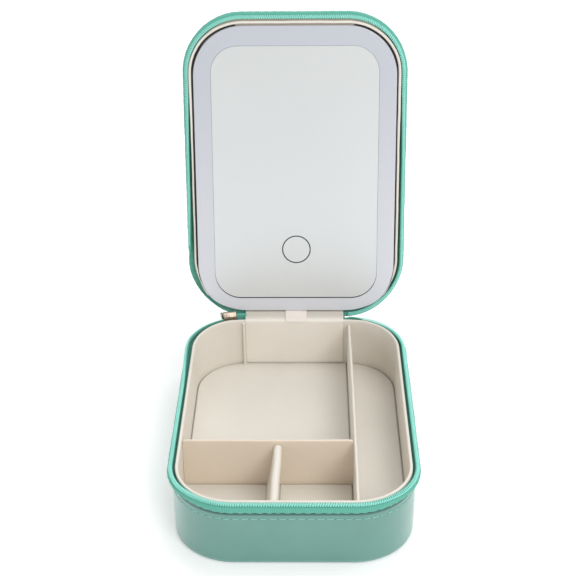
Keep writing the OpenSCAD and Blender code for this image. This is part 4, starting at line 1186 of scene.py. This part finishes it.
# %% [markdown]
# The long divider runs from wall to wall. The cross divider runs from the left wall to the long one.

# %% The two boards
wall_gap = base_face + fit_gap


def wall_y(x):
    """Distance from the middle to the lining's face, front or back, at a sideways place."""
    dx = max(0.0, abs(x) - corner_x)
    return corner_y + math.sqrt((corner_r - wall_gap) ** 2 - dx ** 2)


long_end = wall_y(long_x + 1) - 0.1
board("divider_long", (long_x, long_end), (long_x, -long_end), "long_divider", 0.35, 5, lining_leather)
cross_end = long_x - divider_t / 2 - fit_gap
board("divider_cross", (wall_gap - case_w / 2, cross_y), (cross_end, cross_y), "cross_divider", -0.25, 9,
      divider_leather)

# %% [markdown]
# The middle divider is one strip of leather folded over a soft core: two flanks that spread at the foot
# and a full round crest. It is a loft of the fold's section along its length.

# %% Folded divider
crest_w, crest_drop = 5.2, 5.0


def fold_points(shrink, drop):
    """Section of the fold about its crest, from the left foot over the crest to the right foot."""
    r = crest_w / 2 - shrink
    z = base_h - crest_drop - crest_w / 2 - drop
    low = foot_z
    left = [(-foot_left + (foot_left - r) * f ** 0.8, low + (z - low) * f) for f in np.linspace(0, 1, 12)]
    arc = [(r * math.cos(a), z + r * math.sin(a)) for a in np.linspace(math.pi, 0, 13)[1:-1]]
    right = [(foot_right + (r - foot_right) * f ** 1.4, low + (z - low) * f) for f in np.linspace(1, 0, 12)]
    return np.array(left + arc + right)


def folded_divider():
    """The loft from the cross divider to the front wall. Its crest leans a little to the left in front."""
    back = cross_y - divider_t / 2 - fit_gap
    front_y = wall_gap - half_d
    loops = []
    ends = [(0.0, 0.9, 0.9), (0.25, 0.45, 0.4), (0.7, 0.15, 0.12)]
    runs = [(back - d, shrink, drop) for d, shrink, drop in ends]
    runs += [(y, 0.0, 0.0) for y in np.linspace(back - 1.5, front_y + 1.0, 34)]
    runs += [(front_y + 0.3, 0.05, 0.05), (front_y, 0.3, 0.3)]
    for y, shrink, drop in runs:
        section = fold_points(shrink, drop)
        sway = 0.3 * noise.noise(Vector((y / 17, 3.1, 0))) - 1.9 * (back - y) / (back - front_y)
        x = middle_x + section[:, 0] + sway * np.clip((section[:, 1] - 12) / 28, 0, 1)
        loops.append(np.column_stack([x, np.full(len(section), y), section[:, 1]]))
    return loft("divider_middle", loops, lining_leather, "base", ["middle_divider"], sharp=60)


fold = folded_divider()
print("folded divider", len(fold.data.vertices), "points")

# %% [markdown]
# ## Hinge
# Inside, one strip of lining leather runs up the back wall, over the rim and in behind the panel. Outside,
# one strip of the outer leather joins both walls. Both are continuous, so both bend across the hinge.
# Their paths are drawn in the open pose, with the lid's points turned back first.

# %% Ribbons across the hinge
def lid_point(inset, t):
    """Y and Z of a point of the lid, given shut as an inset and a distance from the opening plane."""
    p = turn_open([(0, half_d - inset, base_h + t)])[0]
    return (p[1], p[2])


def base_point(inset, t):
    return (half_d - inset, base_h - t)


def path_of(on_base, on_lid):
    """A path from points of the base to points of the lid."""
    return [base_point(*p) for p in on_base] + [lid_point(*p) for p in on_lid]


def across(name, path, x0, x1, thick, material, nodes, columns=48, shape=None):
    """A ribbon of leather: a curve in Y and Z, given thickness and carried sideways with soft side edges."""
    middle = smooth_path(path, 6)
    xs = np.concatenate([[x0, x0 + 0.12, x0 + 0.4], np.linspace(x0 + 1.2, x1 - 1.2, columns),
                         [x1 - 0.4, x1 - 0.12, x1]])
    loops = []
    for x in xs:
        d = min(x - x0, x1 - x)
        t = thick * (1 if d > 0.35 else 0.45 + 0.5 * math.sqrt(max(0, d / 0.4)))
        section = ribbon(middle if shape is None else shape(x, middle), t)
        loops.append(np.column_stack([np.full(len(section), x), section]))
    return loft(name, loops, material, None, nodes, sharp=60)


def blend(made):
    """Bakes the piece's placement into its mesh."""
    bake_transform(made)


# %% [markdown]
# The inner strip lies in the lining's own plane down the back wall, crosses the gap in an easy curve and ends
# behind the panel. It was cut a little long, so it stands off the wall near its middle.

# %% Inner hinge strip
strip_x0, strip_x1 = -37.8, 35.4
strip_path = path_of(((7.6, 36.4), (7.6, 30), (7.6, 18), (7.6, 6), (7.6, 3.0), (7.55, 1.5), (7.1, 0.45), (6.1, 0.0),
                      (4.4, -0.35), (2.4, -0.95), (0.3, -1.6), (-1.6, -2.0)),
                     ((2.75, 3.6), (2.9, 5.0), (3.8, 5.5), (7.8, 5.5)))


def strip_ripple(x, middle):
    """A slack strip: it stands off the wall a little near its middle."""
    run = np.clip((base_h - 2 - middle[:, 1]) / 10, 0, 1) * np.clip((middle[:, 1] - 12) / 10, 0, 1)
    bow = math.sin((x - strip_x0) / (strip_x1 - strip_x0) * math.pi)
    off = 0.25 * noise.noise(Vector((x / 21, 4.2, 0))) + 0.2 * bow
    moved = middle.copy()
    moved[:, 0] -= run * max(0.0, off)
    return moved


# Its leather carries a painted shadow where it passes under the panel's lower edge.
hinge_strip = across("hinge_strip", strip_path, strip_x0, strip_x1, lining_t, strip_with_panel_shadow,
                     ["hinge_strip_base", "hinge_strip_lid"], shape=strip_ripple)
blend(hinge_strip)
print("hinge strip", round(strip_x1 - strip_x0, 1), "mm wide")

# %% [markdown]
# The outer leather dips into the valley between both walls. Its two ends run in behind the wall leather and
# are sewn down, and it is the piece that really carries the lid.

# %% Outer hinge leather
hinge_half = 36.6
fold_half = ((2.8, 21), (2.8, 14), (2.75, 8.2), (1.7, 6.0), (0.4, 4.2), (0.1, 2.0))
fold_path = path_of((*fold_half, (-0.9, 0.9)), fold_half[::-1])
hinge_fold = across("hinge_fold", fold_path, -hinge_half, hinge_half, leather_t, outer_leather,
                    ["hinge_leather_base", "hinge_leather_lid"])
blend(hinge_fold)
print("hinge leather", 2 * hinge_half, "mm wide")

# %% [markdown]
# Two seams on each half hold the outer leather. They take the same stitch as the walls, at the same pitch.

# %% Seams of the hinge leather
hinge_places = np.arange(open_length + 4.0, full_length - 3.0, stitch_pitch)
for body, side in (("base", -1), ("lid", 1)):
    for row, drop in (("low", 19.4), ("high", 10.2)):
        row_of(f"{body}_hinge_stitches_{row}", capsule(stitch_l, stitch_r), hinge_places, -2.3,
               base_h + side * drop, thread, body, side > 0)
print("hinge stitches", 4 * len(hinge_places))

# %% [markdown]
# The pull tab is a short tongue of pale leather glued behind the panel. It comes round the panel's lower
# edge and rests on the strip.

# %% Pull tab
tab_x0, tab_x1, tab_round = -7.9, 8.0, 2.4
tab_path = path_of(((8.5, 0.75), (7.9, 0), (6.2, -0.65), (3.6, -1.35), (1.0, -2.4)),
                   ((3.0, 0.9), (2.95, 2.6), (3.05, 4.3), (4.4, 4.85), (7.8, 4.85)))[::-1]


def tab_tip(x, middle):
    """Shortens the tongue towards its sides, so that its tip has round corners."""
    short = max(0.0, tab_round - min(x - tab_x0, tab_x1 - x))
    cut = tab_round - math.sqrt(tab_round ** 2 - short ** 2)
    run = np.concatenate([[0], np.cumsum(np.linalg.norm(np.diff(middle, axis=0), axis=1))])
    want = np.linspace(0, run[-1] - cut, len(middle))
    return np.column_stack([np.interp(want, run, middle[:, 0]), np.interp(want, run, middle[:, 1])])


pull_tab = across("tab", tab_path, tab_x0, tab_x1, 0.6, tab_leather, ["pull_tab"], 28, tab_tip)
blend(pull_tab)
print("tab", tab_x1 - tab_x0, "mm wide")

# %% [markdown]
# ## Light panel
# The panel is a thick milky plate with a rounded front edge and a pocket for the mirror. Loops of the same
# number of points make the skin, from the back edge over the rounding and down into the pocket.

# %% Opal plate
panel_recess, diffuser_t = 0.9, 3.6
band_side, band_back, band_front = 12.6, 10.8, 14.2
mirror_w, mirror_l = panel_w - 2 * band_side, panel_l - band_back - band_front
mirror_y = panel_y + (band_front - band_back) / 2
mirror_r, mirror_t, mirror_proud = 19.0, 2.0, 0.2


def plate_loop(w, l, r, y0, inset, t, full=0.0):
    """A level loop of a plate. Fuller back corners are pushed outward by up to the given distance."""
    flat = outline_points(inset, w, l, r, y0)
    centre = np.array((w / 2 - r, y0 + l / 2 - r))
    arm = np.abs(flat) - centre
    angle = np.arctan2(arm[:, 1], arm[:, 0])
    push = np.where((flat[:, 1] > centre[1]) & (arm[:, 0] > 0), full * np.sin(2 * angle) ** 4, 0)
    flat = flat + push[:, None] * np.column_stack([np.cos(angle) * np.sign(flat[:, 0]), np.sin(angle)])
    return np.column_stack([flat, np.full(len(flat), base_h + t)])


edge_r, back_t = 0.9, panel_recess + diffuser_t
plate_rows = [(0.6, back_t), (0.15, back_t - 0.15), (0.0, back_t - 0.6)]
plate_rows += [(edge_r * (1 - math.cos(a)), panel_recess + edge_r * (1 - math.sin(a)))
               for a in np.linspace(0, math.pi / 2, 7)]
groove, groove_back = 0.15, 0.85
pocket = (mirror_w + 2 * groove, mirror_l + groove + groove_back, mirror_r + groove,
          mirror_y + (groove_back - groove) / 2)
pocket_floor = panel_recess + mirror_t - mirror_proud + 0.05
pocket_rows = [(-0.06, panel_recess), (0.0, panel_recess + 0.08), (0.0, pocket_floor)]
plate_loops = [plate_loop(panel_w, panel_l, panel_r, panel_y, i, t, fuller) for i, t in plate_rows]
plate_loops += [plate_loop(*pocket, i, t) for i, t in pocket_rows]
loft("diffuser", plate_loops, diffuser_milk, "lid", ["light_diffuser"], lid=True, sharp=35)
print("light band", band_side, "mm at the sides")

# %% [markdown]
# The mirror lies in the pocket, a fifth of a millimetre proud. A black sheet of painted shade under its edge
# shows as the thin dark line round it, widest at the hinge, where the glass doesn't reach the pocket's edge.

# %% Mirror and the painted shade round it
mirror_face = panel_recess - mirror_proud
mirror_rows = [(0.0, mirror_face + mirror_t), (0.0, mirror_face + 0.12), (0.1, mirror_face)]
groove_shade_rows = [(-groove_back - 0.1, 1.5), (0.4, 1.5), (0.4, 1.8), (-groove_back - 0.1, 1.8), (-groove_back - 0.1, 1.5)]
glass, groove_shade = [[plate_loop(mirror_w, mirror_l, mirror_r, mirror_y, i, t) for i, t in rows]
              for rows in (mirror_rows, groove_shade_rows)]
loft("mirror", glass, mirror_silver, "lid", ["mirror_glass"], lid=True, sharp=15)
loft("mirror_groove_shade", groove_shade, gap_shade_black, "lid", lid=True, closed=False)
print("mirror", round(mirror_w, 1), "x", round(mirror_l, 1), "mm")

# %% [markdown]
# The touch mark is a ring printed on the glass. It gets a hair of height, so that it is a piece of its own.

# %% Touch mark
ring_x, ring_y, ring_r, ring_line, ring_t = 0.5, half_d - 51.3, 10.6, 0.85, 0.03
turn = np.arange(96) / 96 * math.tau
ring_loops = [np.column_stack([ring_x + r * np.cos(turn), ring_y + r * np.sin(turn),
                               np.full(len(turn), base_h + mirror_face - t)])
              for r, t in ((ring_r, 0), (ring_r, ring_t), (ring_r - ring_line, ring_t), (ring_r - ring_line, 0),
                           (ring_r, 0))]
loft("touch_mark", ring_loops, mark_ink, "lid", ["touch_ring"], lid=True, closed=False)
print("touch mark", 2 * ring_r, "mm across")

# %% [markdown]
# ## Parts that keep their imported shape
# The pull and the divider rail are right as they are, and so is everything hidden in the walls and the
# panel. They only need a finish.

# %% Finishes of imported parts
packed_finish = (
    (slider_metal, "zip_pull", "board_screws", "charge_socket"), (lining_leather, "divider_rail"),
    (white_foam, "base_side_padding", "base_floor_filler", "lid_side_padding", "lid_top_padding",
     "panel_spacer_frame"),
    (grey_board, "base_wall_board", "base_floor_board", "lid_wall_board", "lid_top_board"),
    (white_plastic, "lamp_housing", "led_board_ring"), (copper_foil, "touch_pad"), (lamp_lens, "led_lamps"),
    (green_lacquer, "circuit_board"), (cell_foil, "battery_cell"))
for finish, *names in packed_finish:
    for name in names:
        mesh = frame["nodes"][name].data
        mesh.materials.clear()
        mesh.materials.append(finish)
print("packed parts with a finish", sum(len(names) for _, *names in packed_finish))

# %% [markdown]
# ## Studio
# The photograph was taken on pale ground in a bright, even room. The floor is a wide matt sheet just under
# the case. It glows a little, because a white ground in a light tent is lit from all around.

# %% Floor
floor_half, floor_drop = 12.0, 0.0002
floor_mesh = bpy.data.meshes.new("floor")
floor_corners = [(x * floor_half, y * floor_half, -floor_drop) for x, y in ((-1, -1), (1, -1), (1, 1), (-1, 1))]
floor_mesh.from_pydata(floor_corners, [], [(0, 1, 2, 3)])
floor = bpy.data.objects.new("floor", floor_mesh)
bpy.context.scene.collection.objects.link(floor)
floor_material, _, floor_shader = new_material("floor_white")
for socket, value in (("Base Color", (0.92, 0.92, 0.92, 1)), ("Roughness", 0.9), ("Emission Color", (1, 1, 1, 1)),
                      ("Emission Strength", 0.22)):
    floor_shader.inputs[socket].default_value = value
floor_mesh.materials.append(floor_material)
print("floor", 2 * floor_half, "m wide")

# %% [markdown]
# Two wide soft lights stand above and in front, a little to the right, so the walls and dividers shade one
# side of each compartment. Low strips at both sides put a soft edge on the round corners, and one behind
# the lid lights its rim.

# %% Lights and world
def soft_light(name, place, aim, width, height, power):
    """A rectangular light at a place, turned towards its aim. Metres and watts."""
    data = bpy.data.lights.new(name, "AREA")
    data.shape, data.size, data.size_y, data.energy = "RECTANGLE", width, height, power
    made = bpy.data.objects.new(name, data)
    bpy.context.scene.collection.objects.link(made)
    made.location = place
    made.rotation_euler = (Vector(aim) - Vector(place)).to_track_quat("-Z", "Y").to_euler()


studio = (("top_light", (0.4, 0.4, 1.55), (0, 0.05, 0.05), 1.2, 1.0, 8.5),
          ("front_light", (0.75, -1.25, 1.2), (0, 0, 0.1), 0.9, 0.7, 11.7),
          ("left_light", (-1.3, -0.5, 0.45), (0, 0, 0.05), 0.3, 1.0, 2.4),
          ("right_light", (1.3, -0.5, 0.45), (0, 0, 0.05), 0.3, 1.0, 1.6),
          ("back_light", (-0.25, 1.1, 1.45), (0, 0.16, 0.24), 0.9, 0.5, 5))
for light in studio:
    soft_light(*light)
world = bpy.data.worlds.new("studio")
bpy.context.scene.world = world
world.use_nodes = True
background = world.node_tree.nodes["Background"]
background.inputs["Color"].default_value = (1, 1, 1, 1)
background.inputs["Strength"].default_value = 0.57
bpy.context.scene.view_settings.view_transform = "Standard"
print("lights", [name for name, *_ in studio])
